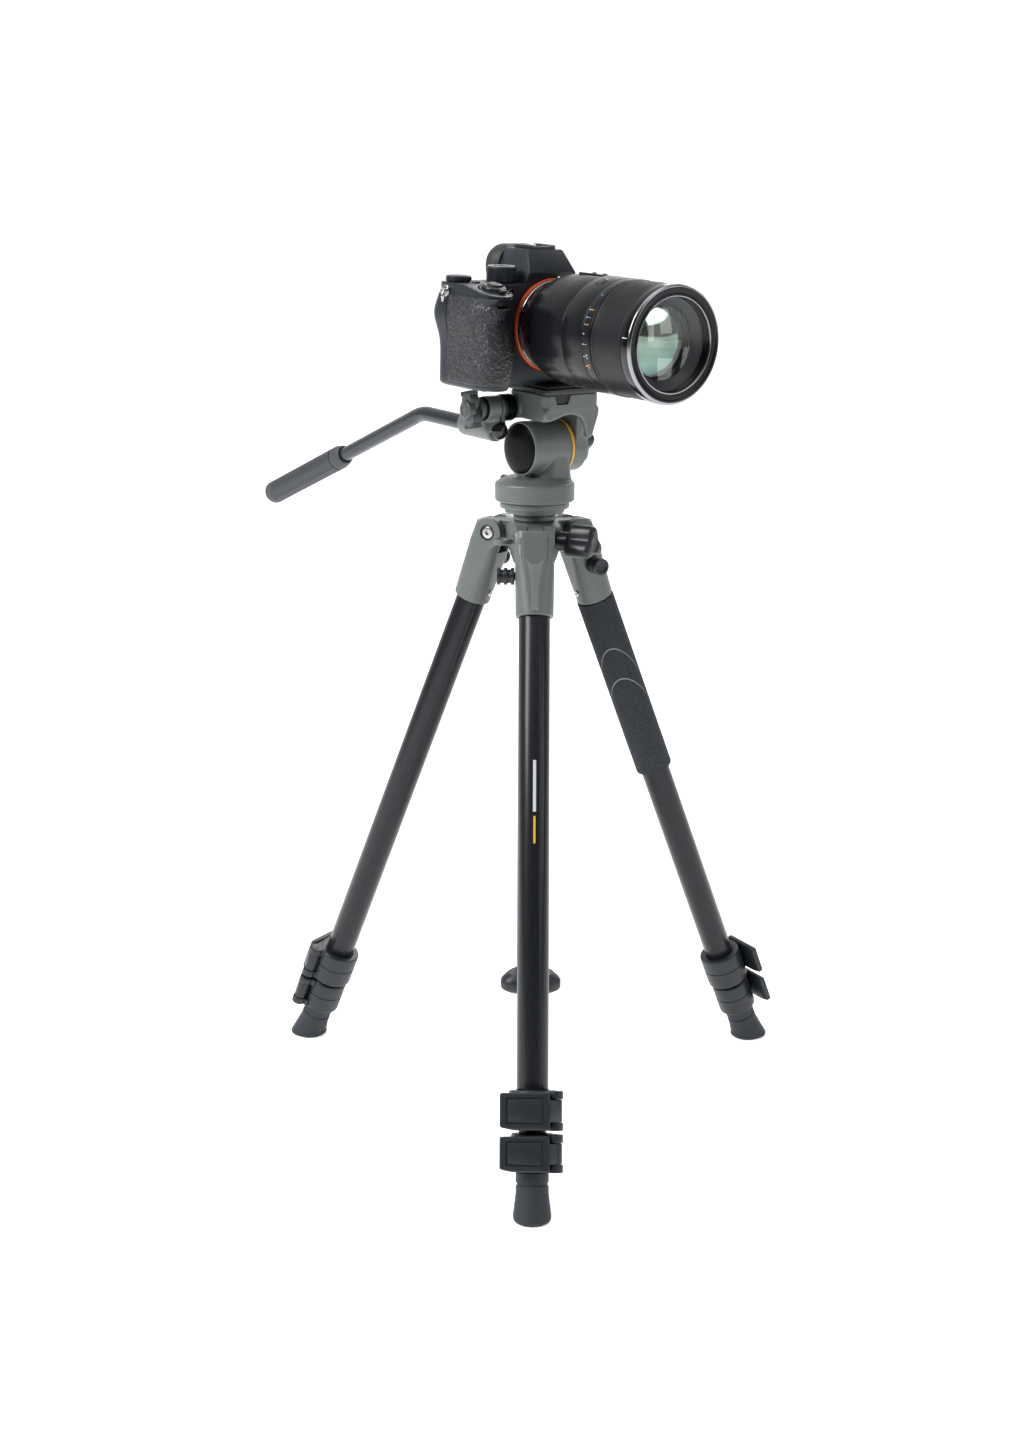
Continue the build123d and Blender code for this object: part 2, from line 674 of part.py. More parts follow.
skin_zone = block(-body_left - 5, -44.8, -grip_nose - 5, 26, -body_below + 4, seam_z - 1.0)
skin = Pos(0, 0, -body_below) * extrude(offset(plan, grip_skin + fit_gap) - offset(plan, fit_gap), 80)
skin = (skin & skin_zone) - block(
    dial_x - 8.6, dial_x + 8.6, -grip_nose - 9, dial_y, dial_low - 0.6, seam_z
)
save("grip_cover", skin, camera)

cover = Pos(0, 0, seam_z + 0.02) * extrude(plan, cover_height - 0.02)
slope_cut = Pos(-50, 10, deck_height) * Rot(deck_slope, 0, 0) * block(-60, 9, -60, 0, 0, 30)
cover -= slope_cut
hump_foot = Pos(0, (body_front + body_back) / 2, deck_height - 2) * Rectangle(
    2 * hump_bottom_half, body_back - body_front
)
hump_head = Pos(0, 25, hump_height) * Rectangle(2 * hump_top_half, 26)
cover += loft([hump_foot, hump_head])
cover += block(-9.5, 9.5, 15, 32, hump_height - hidden, hump_height + 2.2)
cover -= block(-7.4, 7.4, 17, 33, hump_height + 0.7, hump_height + 3)
dial_post = 3.0
mode_at = (-34, 17)
exposure_at = (-60.3, 31)
cover += disc(dial_post, deck_height - 2, deck_height + 6, *mode_at)
cover += disc(dial_post, deck_height - 2, deck_height + 2.6, *exposure_at)
button_y = -3.0
button_x = -54.5
button_z = deck_height - (10 - button_y) * sin(radians(deck_slope)) / cos(radians(deck_slope))
button = Pos(button_x, button_y, button_z) * Rot(deck_slope, 0, 0)
cover -= button * disc(2.4 + run_gap, -20, 5)
cover -= button * disc(5.5, -1.4, 5)
eye_z = 38.0
cover -= block(-9, 9, body_back - 6, body_back + hidden, eye_z - 5, eye_z + 5)
save("top_cover", cover, camera)

ring = rod_y(mount_ring_r, 0, body_front) - rod_y(mount_throat_r, -hidden, body_front + hidden)
save("mount_ring", ring, camera)

lens = camera * Rot(90, 0, 0)
barrel = turned(
    [
        (17, 0.2),
        (31, 0.2),
        (31.2, 3),
        (36.6, 19),
        (38.2, 32),
        (lens_r - 1, 59),
        (lens_r - 0.3, 59.6),
        (lens_r - 0.2, focus_start),
        (focus_core_r, focus_start),
        (focus_core_r, focus_end),
        (lens_r, focus_end),
        (lens_r, lens_length - 2),
        (lens_r - 1.6, lens_length),
        (filter_r + 1.6, lens_length),
        (filter_r, lens_length - 1.2),
        (filter_r, lens_length - 7),
        (filter_r - 2, lens_length - 8.5),
        (front_glass_r, lens_length - 18),
        (front_glass_r, lens_length - 27),
        (lens_bore_r, lens_length - 27),
        (lens_bore_r, 7),
        (17, 7),
    ]
)
barrel += disc(mount_throat_r - 0.3, -3.2, 0.3) - disc(17, -5, 7.5)
save("lens_barrel", barrel, lens)

focus = disc(lens_r - 0.1, focus_start + free_gap, focus_end - free_gap)
focus -= disc(focus_core_r + 0.3, focus_start - hidden, focus_end + hidden)
save("focus_ring", focus, lens)


def element(r, back, front, crown):
    """Glass element with a crowned front face."""
    sphere_r = (r * r + crown * crown) / (2 * crown)
    ball = Pos(0, 0, front - sphere_r) * Sphere(sphere_r)
    return disc(r, back, front) & ball


glass_front = lens_length - 18
glass = [
    element(front_glass_r - fit_gap, glass_front - 8.8, glass_front, 3.4),
    element(lens_bore_r - fit_gap, 58, 66, 2.6),
    element(lens_bore_r - fit_gap, 7.2, 14, 2.2),
]
save("lens_glass", Compound(children=glass), lens)

shutter = disc(4.9, 1.2, 4.6) + disc(2.4, -shutter_stem, 1.4)
save("shutter_button", shutter, camera * button)
power = disc(8.4, free_gap, 2.9) - disc(5.3, -hidden, 5)
power += block(-2.4, 2.4, -11.4, -7.4, free_gap, 2.9)
save("power_lever", power, camera * button)

mode_low = deck_height + 0.5
mode = disc(mode_dial_r - 1, mode_low, mode_low + 1.4, *mode_at)
mode += disc(mode_dial_r, mode_low + 1.4, deck_height + 11.4, *mode_at)
mode -= disc(dial_post + run_gap, deck_height, deck_height + 6.4, *mode_at)
save("mode_dial", mode, camera)
exposure = disc(exposure_dial_r, deck_height + 0.4, deck_height + 4.6, *exposure_at)
exposure -= disc(dial_post + run_gap, deck_height, deck_height + 3, *exposure_at)
save("exposure_dial", exposure, camera)
wheel = disc(front_dial_r, dial_low + 0.5, dial_high - 0.5, dial_x, dial_y)
wheel -= disc(2.0 + run_gap, dial_low, dial_high, dial_x, dial_y)
save("front_dial", wheel, camera)

screen_y = body_back - screen_thickness + 1.2 + free_gap
screen = block(
    screen_x - screen_width / 2,
    screen_x + screen_width / 2,
    screen_y,
    screen_y + screen_thickness,
    screen_low,
    screen_low + screen_height,
)
screen = fillet(screen.edges().filter_by(Axis.Y), 2.5)
save("rear_screen", screen, camera)

eye_back = body_back + 10.5
cup = Pos(0, body_back + fit_gap, eye_z) * Rot(-90, 0, 0)
cup *= extrude(RectangleRounded(43, 29, 12) - RectangleRounded(27, 17, 7), eye_back - body_back)
save("eyecup", cup, camera)

release = rod_y(4.4, body_front - 2.6, body_front + release_sink - release_travel - 0.2, release_x, release_z)
release += rod_y(2.0, body_front - hidden, body_front + wall, release_x, release_z)
save("lens_release", release, camera)

sensor = block(-25, 25, body_front + wall + 0.3, 13, -19, 19)
sensor -= block(-18.5, 18.5, 0, 11.5, -12.5, 12.5)
sensor += block(-22, 22, 13, 19, -15, 15)
save("sensor_unit", sensor, camera)
battery = block(-body_left + wall + 0.3, -body_left + wall + 19, -grip_nose + 12, 26, floor_z + 0.2, floor_z + 45)
save("battery", battery, camera)
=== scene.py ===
import json
from math import atan2, cos, pi, radians, sin, sqrt

import bmesh
import bpy
from mathutils import Matrix, Vector


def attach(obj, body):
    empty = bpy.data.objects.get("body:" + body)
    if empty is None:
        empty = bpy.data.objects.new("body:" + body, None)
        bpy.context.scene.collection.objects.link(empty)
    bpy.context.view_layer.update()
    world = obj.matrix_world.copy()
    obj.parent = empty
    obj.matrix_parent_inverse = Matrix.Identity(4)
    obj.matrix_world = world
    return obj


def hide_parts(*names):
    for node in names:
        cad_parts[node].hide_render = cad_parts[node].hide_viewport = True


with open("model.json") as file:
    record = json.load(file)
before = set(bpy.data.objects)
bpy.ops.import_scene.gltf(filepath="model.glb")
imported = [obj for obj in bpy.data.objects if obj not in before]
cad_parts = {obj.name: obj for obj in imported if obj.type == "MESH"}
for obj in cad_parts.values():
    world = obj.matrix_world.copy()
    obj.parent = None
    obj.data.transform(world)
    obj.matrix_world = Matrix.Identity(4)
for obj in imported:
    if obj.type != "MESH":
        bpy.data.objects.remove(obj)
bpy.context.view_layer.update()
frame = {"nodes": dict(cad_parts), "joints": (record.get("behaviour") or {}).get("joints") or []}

# A mirrorless camera with a long lens on a three-section tripod with a two-way head.
# Every piece is made in the millimetre frame of the part it belongs to, and then set in place.

scene = bpy.context.scene
mm = 0.001


# frames of the moving parts, read from the joints

joints = {joint["name"]: joint for joint in frame["joints"]}


def spot(joint):
    return Vector(joints[joint]["pos_m"])


def aim(joint):
    return Vector(joints[joint]["axis"]).normalized()


def framed(origin, x, z):                       # a millimetre frame from its origin and two directions
    z = z.normalized()
    x = (x - z * x.dot(z)).normalized()
    turn = Matrix((x, z.cross(x), z)).transposed().to_4x4()
    return Matrix.Translation(origin) @ turn @ Matrix.Scale(mm, 4)


def shifted(x=0.0, y=0.0, z=0.0):
    return Matrix.Translation((x, y, z))


def turned(degrees, axis):
    return Matrix.Rotation(radians(degrees), 4, axis)


up = Vector((0, 0, 1))
level = Vector((0, 0, 0))
focusStart = 90.0                               # from the lens flange to the focus ring
swapped = Matrix(((1, 0, 0, 0), (0, 0, 1, 0), (0, 1, 0, 0), (0, 0, 0, 1)))      # y and z change places
sides = ("front", "right", "left")
legFrames = {
    side: framed(spot(f"{side}_leg_spread"), -aim(f"{side}_leg_spread"), -aim(f"{side}_middle_slide"))
    for side in sides
}
right = aim("tilt_turn")
forward = aim("focus_ring_turn")
floorFrame = framed(level, Vector((1, 0, 0)), up)
headFrame = framed(level, right, up)
tiltFrame = framed(spot("tilt_turn"), right, right.cross(-aim("plate_slide")))
flange = spot("focus_ring_turn") - forward * focusStart * mm
cameraFrame = framed(flange, right, right.cross(-forward))
lensFrame = framed(flange, right, forward)
buttonFrame = framed(spot("power_lever_turn"), right, aim("power_lever_turn"))
columnKnobFrame = framed(spot("column_knob_turn"), up, aim("column_knob_turn"))
panKnobFrame = framed(spot("pan_knob_turn"), up, aim("pan_knob_turn"))
tiltAxisFrame = tiltFrame @ turned(90, "Y")     # z along the tilt axis


# materials

class Wire:                                     # a shader value that can stand in a sum
    def __init__(self, finish, socket):
        self.finish = finish
        self.socket = socket

    def sum(self, operation, first, second):
        return self.finish.node("ShaderNodeMath", {"operation": operation}, {0: first, 1: second})

    def __add__(self, other):
        return self.sum("ADD", self, other)

    __radd__ = __add__

    def __sub__(self, other):
        return self.sum("SUBTRACT", self, other)

    def __rsub__(self, other):
        return self.sum("SUBTRACT", other, self)

    def __mul__(self, other):
        return self.sum("MULTIPLY", self, other)

    __rmul__ = __mul__

    def __gt__(self, other):
        return self.sum("GREATER_THAN", self, other)

    def __lt__(self, other):
        return self.sum("LESS_THAN", self, other)

    def __abs__(self):
        return self.sum("ABSOLUTE", self, 0.0)


class Finish:                                   # one surface finish as a node material
    def __init__(self, name, **fixed):
        self.material = bpy.data.materials.new(name)
        self.material.use_nodes = True
        self.tree = self.material.node_tree
        self.shader = self.tree.nodes["Principled BSDF"]
        for socket, value in fixed.items():
            self.shader.inputs[socket.replace("_", " ")].default_value = value

    def join(self, value, socket):
        if isinstance(value, Wire):
            self.tree.links.new(value.socket, socket)
        else:
            socket.default_value = value

    def node(self, kind, settings=None, inputs=None, output=0):
        made = self.tree.nodes.new(kind)
        for key, value in (settings or {}).items():
            if key == "stops":
                for i, (place, colour) in enumerate(value):
                    stop = made.color_ramp.elements[i] if i < 2 else made.color_ramp.elements.new(place)
                    stop.position = place
                    stop.color = colour
            else:
                setattr(made, key, value)
        for key, value in (inputs or {}).items():
            self.join(value, made.inputs[key])
        return Wire(self, made.outputs[output])

    def own(self):                              # millimetres in the piece's own frame
        return self.node("ShaderNodeAttribute", {"attribute_name": "own"}, output="Vector")

    def axis(self, letter):
        return self.node("ShaderNodeSeparateXYZ", None, {0: self.own()}, output=letter)

    def noise(self, size, detail=3.0, stretch=(1, 1, 1)):
        point = self.node("ShaderNodeVectorMath", {"operation": "MULTIPLY"}, {0: self.own(), 1: stretch})
        inputs = {"Vector": point, "Scale": 1 / size, "Detail": detail}
        return self.node("ShaderNodeTexNoise", None, inputs, output="Fac")

    def cells(self, size, feature):
        inputs = {"Vector": self.own(), "Scale": 1 / size}
        return self.node("ShaderNodeTexVoronoi", {"feature": feature}, inputs, output="Distance")

    def blend(self, factor, first, second):
        settings = {"data_type": "RGBA"}
        inputs = {"Factor": factor, 6: tuple(first) + (1,) if not isinstance(first, Wire) else first}
        inputs[7] = tuple(second) + (1,) if not isinstance(second, Wire) else second
        return self.node("ShaderNodeMix", settings, inputs, output=2)

    def feed(self, socket, value):
        self.join(value, self.shader.inputs[socket])

    def bump(self, height, depth):              # depth in millimetres
        inputs = {"Height": height, "Strength": 1.0, "Distance": depth * mm}
        self.feed("Normal", self.node("ShaderNodeBump", None, inputs, output="Normal"))


class NodeFinish(Finish):                       # for a CAD mesh, which has no stored millimetres
    def own(self):
        point = self.node("ShaderNodeTexCoord", output="Object")
        return self.node("ShaderNodeVectorMath", {"operation": "SCALE"}, {0: point, 3: 1 / mm})


def shade(colour, share):
    return tuple(min(1.0, part * share) for part in colour)


def satin(name, colour, roughness, grain=0.4, depth=0.02, drift=0.1, edgeHighlight=0.0, kind=Finish, **fixed):
    made = kind(name, **fixed)                  # cast, moulded and painted surfaces
    cloud = made.noise(14.0)
    speckle = made.noise(grain, 2.0)
    tone = made.blend(cloud, shade(colour, 1 - drift), shade(colour, 1 + drift))
    # sharp edges lightened towards 2.2 times the colour: a painted highlight along the edges
    if edgeHighlight:
        edge = made.node("ShaderNodeAttribute", {"attribute_name": "edge"}, output="Fac")
        tone = made.blend(edge * edgeHighlight, tone, shade(colour, 2.2))
    made.feed("Base Color", tone)
    made.feed("Roughness", roughness - 0.05 + 0.1 * cloud + 0.06 * (speckle - 0.5))
    made.bump(speckle, depth)
    return made


def grained(name, colour, roughness):           # leather-like moulded rubber
    made = Finish(name)
    crease = made.cells(2.9, "DISTANCE_TO_EDGE")
    wrinkle = made.noise(4.0, 2.0)
    height = crease * 1.4 + wrinkle * 1.1
    # colour darkens in the creases and lightens on the cell tops: painted shade in the creases
    made.feed(
        "Base Color", made.blend(crease * 2.4 + (wrinkle - 0.5), shade(colour, 0.5), shade(colour, 1.6)),
    )
    made.feed("Roughness", roughness + 0.2 * (0.4 - crease))
    made.bump(height, 0.55)
    return made


foamCurves = ((128.0, 34.0), (150.0, 30.0))     # middle height and swing of each moulded line


def foamed(name, colour, mark):                 # mottled closed-cell foam with two moulded curves
    made = Finish(name, Specular_IOR_Level=0.3)
    x = made.axis("X")
    y = made.axis("Y")
    z = made.axis("Z")
    around = made.node("ShaderNodeMath", {"operation": "ARCTAN2"}, {0: x, 1: -1.0 * y})
    wave = made.node("ShaderNodeMath", {"operation": "SINE"}, {0: around * 1.0 + 0.6})
    first, second = [abs(z + middle + wave * swing) < 0.55 for middle, swing in foamCurves]
    mottle = made.noise(1.1, 4.0)
    tone = made.blend((mottle - 0.35) * 2.4, shade(colour, 0.7), shade(colour, 1.5))
    made.feed("Base Color", made.blend(first + second, tone, mark))
    made.feed("Roughness", 0.82 + 0.1 * mottle)
    made.bump(mottle + made.noise(0.4, 2.0) * 0.5, 0.12)
    return made


def brushed(name, colour, roughness, stretch, **fixed):
    made = Finish(name, Metallic=1.0, **fixed)  # turned or drawn metal with fine lines
    lines = made.noise(0.3, 2.0, stretch)
    made.feed("Base Color", made.blend(lines, shade(colour, 0.85), shade(colour, 1.1)))
    made.feed("Roughness", roughness - 0.04 + 0.1 * lines)
    made.bump(lines, 0.004)
    return made


# from, to, half width and colour of each mark on the front tube
stripes = ((-194.0, -158.0, 1.1, (0.62, 0.63, 0.64)), (-216.0, -197.0, 0.8, (0.72, 0.42, 0.06)))


def tubeBlack(name, striped):                   # glossy anodised tube, with two plain stripes on one leg
    made = Finish(name, Metallic=0.2, Specular_IOR_Level=0.3, Coat_Weight=0.06, Coat_Roughness=0.12)
    lines = made.noise(0.5, 2.0, (1, 1, 0.03))
    tone = made.blend(lines, (0.007, 0.008, 0.010), (0.016, 0.018, 0.022))
    if striped:
        x = made.axis("X")
        z = made.axis("Z")
        front = made.axis("Y") < -2.0
        for low, high, half, colour in stripes:
            mark = (z < high) * (z > low) * front * (abs(x - 0.4) < half)
            tone = made.blend(mark, tone, colour)
    made.feed("Base Color", tone)
    made.feed("Roughness", 0.24 + 0.1 * lines)
    made.bump(lines, 0.004)
    return made


finishes = {
    "cast": satin(
        "castMetal", (0.116, 0.130, 0.128), 0.40, 0.5, 0.035, 0.08, 0.45, Metallic=0.15,
        Specular_IOR_Level=0.4,
    ),
    "tube": tubeBlack("anodisedTube", False), "striped": tubeBlack("anodisedTubeStriped", True),
    "lock": satin(
        "lockPlastic", (0.013, 0.016, 0.020), 0.40, 0.35, 0.03, 0.12, 0.15, Specular_IOR_Level=0.4,
    ),
    "foot": satin("footRubber", (0.021, 0.026, 0.033), 0.6, 0.5, 0.05, 0.12, 0.1, Specular_IOR_Level=0.35),
    "foam": foamed("foamGrip", (0.030, 0.034, 0.040), (0.22, 0.24, 0.26)),
    "steel": brushed("boltSteel", (0.46, 0.45, 0.44), 0.22, (1, 1, 1)),
    "knob": satin("knobPlastic", (0.013, 0.015, 0.018), 0.34, 0.4, 0.02, 0.12, 0.2, Specular_IOR_Level=0.4),
    "ribbed": satin("ribbedKnob", (0.060, 0.067, 0.069), 0.5, 0.4, 0.03, 0.1, 0.2),
    "cap": satin("drumCap", (0.003, 0.0033, 0.004), 0.30, 0.5, 0.01, 0.1, Specular_IOR_Level=0.08),
    "ball": satin("barCap", (0.012, 0.013, 0.015), 0.16, 0.6, 0.004, 0.1),
    "dark": satin("darkGap", (0.006, 0.006, 0.007), 0.6, 0.5, 0.02, 0.1),
    "bar": satin("barPaint", (0.018, 0.023, 0.030), 0.28, 0.4, 0.01, 0.08, Metallic=0.3),
    "grip": satin("gripRubber", (0.040, 0.046, 0.052), 0.55, 0.5, 0.05, 0.1, 0.1),
    "accent": satin("accentRing", (0.78, 0.38, 0.02), 0.35, 0.5, 0.01, 0.06),
    "plate": satin("plateMetal", (0.022, 0.024, 0.026), 0.34, 0.4, 0.012, 0.1, 1.0, Metallic=0.4),
    "body": satin("bodyPaint", (0.013, 0.016, 0.021), 0.34, 0.22, 0.02, 0.1, 0.25, Specular_IOR_Level=0.32),
    "leather": grained("leatherGrip", (0.014, 0.016, 0.019), 0.36),
    "orange": satin("mountOrange", (0.42, 0.055, 0.010), 0.30, 0.5, 0.01, 0.08, Metallic=0.25),
    "silver": brushed("brightMetal", (0.30, 0.31, 0.33), 0.2, (1, 1, 0.05)),
    "lens": satin("lensSatin", (0.005, 0.0055, 0.007), 0.26, 0.3, 0.01, 0.1, Specular_IOR_Level=0.25),
    "gloss": satin("lensGloss", (0.003, 0.003, 0.004), 0.10, 0.6, 0.002, 0.1),
    "rubber": satin("lensRubber", (0.008, 0.009, 0.011), 0.38, 0.35, 0.03, 0.1, Specular_IOR_Level=0.28),
    "bezel": satin("lensBezel", (0.045, 0.050, 0.056), 0.42, 0.3, 0.01, 0.08),
    "white": satin("markWhite", (0.72, 0.73, 0.74), 0.45, 0.4, 0.004, 0.05),
    "amber": satin("markAmber", (0.80, 0.36, 0.05), 0.45, 0.4, 0.004, 0.05),
    "blue": satin("markBlue", (0.12, 0.30, 0.62), 0.45, 0.4, 0.004, 0.05),
    "screen": satin("screenFace", (0.006, 0.007, 0.008), 0.08, 1.0, 0.001, 0.1),
    "cup": satin("eyecupRubber", (0.014, 0.015, 0.016), 0.58, 0.4, 0.04, 0.1),
}
print("finishes made:", len(finishes))


# mesh tools; each takes and gives a bmesh

def softened(points, radius, closed=False, steps=3):    # corners drawn as short curves
    result = []
    last = len(points) - 1
    for i, point in enumerate(points):
        corner = Vector(point)
        if not closed and i in (0, last):
            result.append(corner)
            continue
        before = Vector(points[i - 1]) - corner
        after = Vector(points[(i + 1) % len(points)]) - corner
        reach = min(radius, 0.46 * before.length, 0.46 * after.length)
        start = corner + before.normalized() * reach
        end = corner + after.normalized() * reach
        for step in range(steps + 1):
            t = step / steps
            result.append(start * (1 - t) ** 2 + corner * 2 * t * (1 - t) + end * t * t)
    return result


def roundedBox(width, depth, radius, steps=6):          # plan outline with true round corners
    points = []
    for i in range(4):
        sx = 1 if i in (0, 3) else -1
        sy = 1 if i in (0, 1) else -1
        for step in range(steps + 1):
            angle = radians(90 * (i + step / steps))
            points.append((
                sx * (width / 2 - radius) + radius * cos(angle),
                sy * (depth / 2 - radius) + radius * sin(angle),
            ))
    return points


def moved(bm, matrix):
    bmesh.ops.transform(bm, matrix=matrix, verts=bm.verts)
    return bm


def tidied(bm):
    bmesh.ops.remove_doubles(bm, verts=bm.verts, dist=0.0005)
    bmesh.ops.recalc_face_normals(bm, faces=bm.faces)
    return bm


def lathe(profile, segments=96, closed=False):          # (radius, height) outline spun about z
    bm = bmesh.new()
    verts = [bm.verts.new((point[0], 0, point[1])) for point in profile]
    edges = [bm.edges.new(pair) for pair in zip(verts, verts[1:])]
    if closed:
        edges.append(bm.edges.new((verts[-1], verts[0])))
    bmesh.ops.spin(
        bm, geom=verts + edges, cent=level, axis=up, angle=2 * pi, steps=segments, use_merge=True
    )
    return tidied(bm)


def spun(profile, soft, segments=96, steps=3):          # softened profile, solid to the axis
    return lathe(softened(profile, soft, False, steps), segments)


def hoop(profile, soft, segments=96, steps=2):          # softened closed profile, open in the middle
    return lathe(softened(profile, soft, True, steps), segments, True)


def ringed(bm, points):
    verts = [bm.verts.new(point) for point in points]
    edges = [bm.edges.new((verts[i - 1], verts[i])) for i in range(len(verts))]
    return verts, edges


def loft(rings):                                        # closed rings bridged one after another
    bm = bmesh.new()
    made = [ringed(bm, points) for points in rings]
    for (_, first), (_, second) in zip(made, made[1:]):
        bmesh.ops.bridge_loops(bm, edges=first + second)
    for verts, _ in (made[0], made[-1]):
        bm.faces.new(verts)
    bmesh.ops.recalc_face_normals(bm, faces=bm.faces)
    return bm


def rounded(bm, edges, width, steps=2):
    bmesh.ops.bevel(
        bm, geom=edges, offset=width, offset_type="OFFSET", affect="EDGES",
        segments=steps, profile=0.5, material=-1, clamp_overlap=True,
    )
    return bm


def slab(outline, low, high, edge=0.0, steps=2):        # plan outline raised from low to high
    bm = bmesh.new()
    face = bm.faces.new([bm.verts.new((point[0], point[1], low)) for point in outline])
    grown = bmesh.ops.extrude_face_region(bm, geom=[face])["geom"]
    top = [part for part in grown if isinstance(part, bmesh.types.BMVert)]
    bmesh.ops.translate(bm, verts=top, vec=(0, 0, high - low))
    bmesh.ops.recalc_face_normals(bm, faces=bm.faces)
    if edge:
        rims = [e for e in bm.edges if abs(e.verts[0].co.z - e.verts[1].co.z) < 1e-6]
        rounded(bm, rims, edge, steps)
    return bm


def sheet(points, soft, low, high, edge=0.0, steps=2):  # slab with softened plan corners
    return slab(softened(points, soft, True), low, high, edge, steps)


def block(x, y, z, edge=0.0, steps=2):                  # box from three spans
    bm = bmesh.new()
    bmesh.ops.create_cube(bm, size=1)
    middle = Vector((sum(x) / 2, sum(y) / 2, sum(z) / 2))
    size = (x[1] - x[0], y[1] - y[0], z[1] - z[0], 1)
    moved(bm, Matrix.Translation(middle) @ Matrix.Diagonal(size))
    if edge:
        rounded(bm, list(bm.edges), edge, steps)
    return bm


def rod(radius, low, high, edge=0.0, segments=64):      # round bar along z
    return spun([(0, low), (radius, low), (radius, high), (0, high)], edge or 0.01, segments)


def alongX(bm):                                         # z of the mesh becomes x
    return moved(bm, turned(90, "Y"))


def merged(*parts):
    whole = bmesh.new()
    for part in parts:
        mesh = bpy.data.meshes.new("part")
        part.to_mesh(mesh)
        part.free()
        whole.from_mesh(mesh)
        bpy.data.meshes.remove(mesh)
    return whole


def shown(bm, name="work"):
    mesh = bpy.data.meshes.new(name)
    bm.to_mesh(mesh)
    bm.free()
    holder = bpy.data.objects.new(name, mesh)
    scene.collection.objects.link(holder)
    return holder


def removed(holder):
    mesh = holder.data
    bpy.data.objects.remove(holder)
    bpy.data.meshes.remove(mesh)


def modified(bm, kind, **settings):                     # one modifier, applied
    holder = shown(bm)
    modifier = holder.modifiers.new(kind, kind)
    for key, value in settings.items():
        setattr(modifier, key, value)
    result = bmesh.new()
    result.from_object(holder, bpy.context.evaluated_depsgraph_get())
    removed(holder)
    return result


def carved(bm, *cutters):
    for cutter in cutters:
        tool = shown(cutter)
        bm = modified(bm, "BOOLEAN", operation="DIFFERENCE", solver="EXACT", object=tool)
        removed(tool)
    return bm


def cast(bm, voxel=0.6, passes=2):                      # overlapping solids as one soft-edged casting
    bm = modified(bm, "REMESH", mode="VOXEL", voxel_size=voxel)
    for _ in range(passes):
        bmesh.ops.smooth_vert(
            bm, verts=bm.verts, factor=0.5, use_axis_x=True, use_axis_y=True, use_axis_z=True
        )
    return bm


def placed(name, bm, at, body, finish, slot, *nodes, sharp=34):
    for face in bm.faces:
        face.smooth = True
    for edge in bm.edges:
        edge.smooth = edge.calc_face_angle(0) < radians(sharp)
    # bend at each vertex, stored as edge, marks where satin() paints its edge highlight
    bends = []
    for vert in bm.verts:
        bend = max((edge.calc_face_angle(0) for edge in vert.link_edges), default=0)
        bends.append(min(1.0, bend / radians(50)))
    piece = shown(bm, name)
    mesh = piece.data
    own = mesh.attributes.new("own", "FLOAT_VECTOR", "POINT")
    for i, vert in enumerate(mesh.vertices):
        own.data[i].vector = vert.co
    mesh.attributes.new("edge", "FLOAT", "POINT").data.foreach_set("value", bends)
    mesh.transform(at)
    for kind in finish.split("+"):
        mesh.materials.append(finishes[kind].material)
    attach(piece, body)
    if nodes:
        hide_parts(*nodes)
    return piece


# legs, in the leg frame: origin on the pivot, -z down the leg, -y its outer face

leg = {
    "upperR": 11.0, "wall": 1.1, "slide": 0.4,
    "castingEnd": 55.2, "castingHalf": 14.0, "outer": 13.6, "inner": 10.6, "earR": 11.0,
    "slotHalf": 6.65, "slotFloor": 13.0,
    "upperCollar": (384.6, 411.3), "lowerCollar": (413.7, 439.3),
    "footTop": 440.1, "length": 470.3, "middleTop": 70.0, "lowerTop": 100.0,
    "foam": (55.5, 205.2), "foamWall": 3.0,
    "boltR": 5.4, "boltDepth": 2.3, "pinAt": 25.6, "pinR": 6.1, "pinLength": 12.6,
    "hingeX": 15.5, "hingeY": 12.0, "lockWall": 5.3, "leverReach": 22.5, "leverThick": 4.2,
    "splay": atan2(-aim("front_middle_slide").y, -aim("front_middle_slide").z),
}
leg["middleR"] = leg["upperR"] - leg["wall"] - leg["slide"]
leg["lowerR"] = leg["middleR"] - leg["wall"] - leg["slide"]


def lifted(outline, z, y=0.0):
    return [(point[0], point[1] + y, z) for point in outline]


def legCasting():
    middle = (leg["inner"] - leg["outer"]) / 2
    depth = leg["inner"] + leg["outer"]
    neck = roundedBox(2 * leg["castingHalf"], depth, 6.5)
    tail = roundedBox(27.0, 27.0, 13.3)
    body = loft([lifted(neck, -leg["earR"], middle), lifted(tail, -leg["castingEnd"])])
    half = leg["castingHalf"]
    head = alongX(rod(leg["earR"], -half, half))
    front = loft([lifted(neck, -leg["earR"] - 2, middle), lifted(neck, 4.5, middle)])
    trim = block((-half - 1, half + 1), (-leg["outer"] + 3.4, 20), (0, 8))
    whole = cast(merged(body, head, carved(front, trim)), 0.55, 2)
    seat = leg["boltDepth"]
    bolts = [
        alongX(rod(leg["boltR"] + 0.5, half - seat, half + 4)),
        alongX(rod(leg["boltR"] + 0.5, -half - 4, seat - half)),
    ]
    slot = block((-leg["slotHalf"], leg["slotHalf"]), (-10.2, 20), (-leg["slotFloor"], 20), 0.6)
    grooves = []
    for side in (-1, 1):
        path = block((-0.4, 0.4), (-leg["outer"] - 4, -leg["outer"] + 0.9), (-leg["castingEnd"] - 5, -3))
        lean = Matrix.Rotation(side * radians(3.5), 4, "Y")
        grooves.append(moved(path, shifted(side * 10.3) @ lean))
        notch = block((-1.2, 1.2), (-leg["outer"] - 3, -leg["outer"] + 1.4), (-5.2, -1.0))
        grooves.append(moved(notch, shifted(side * 10.0)))
    return carved(whole, slot, *bolts, *grooves)


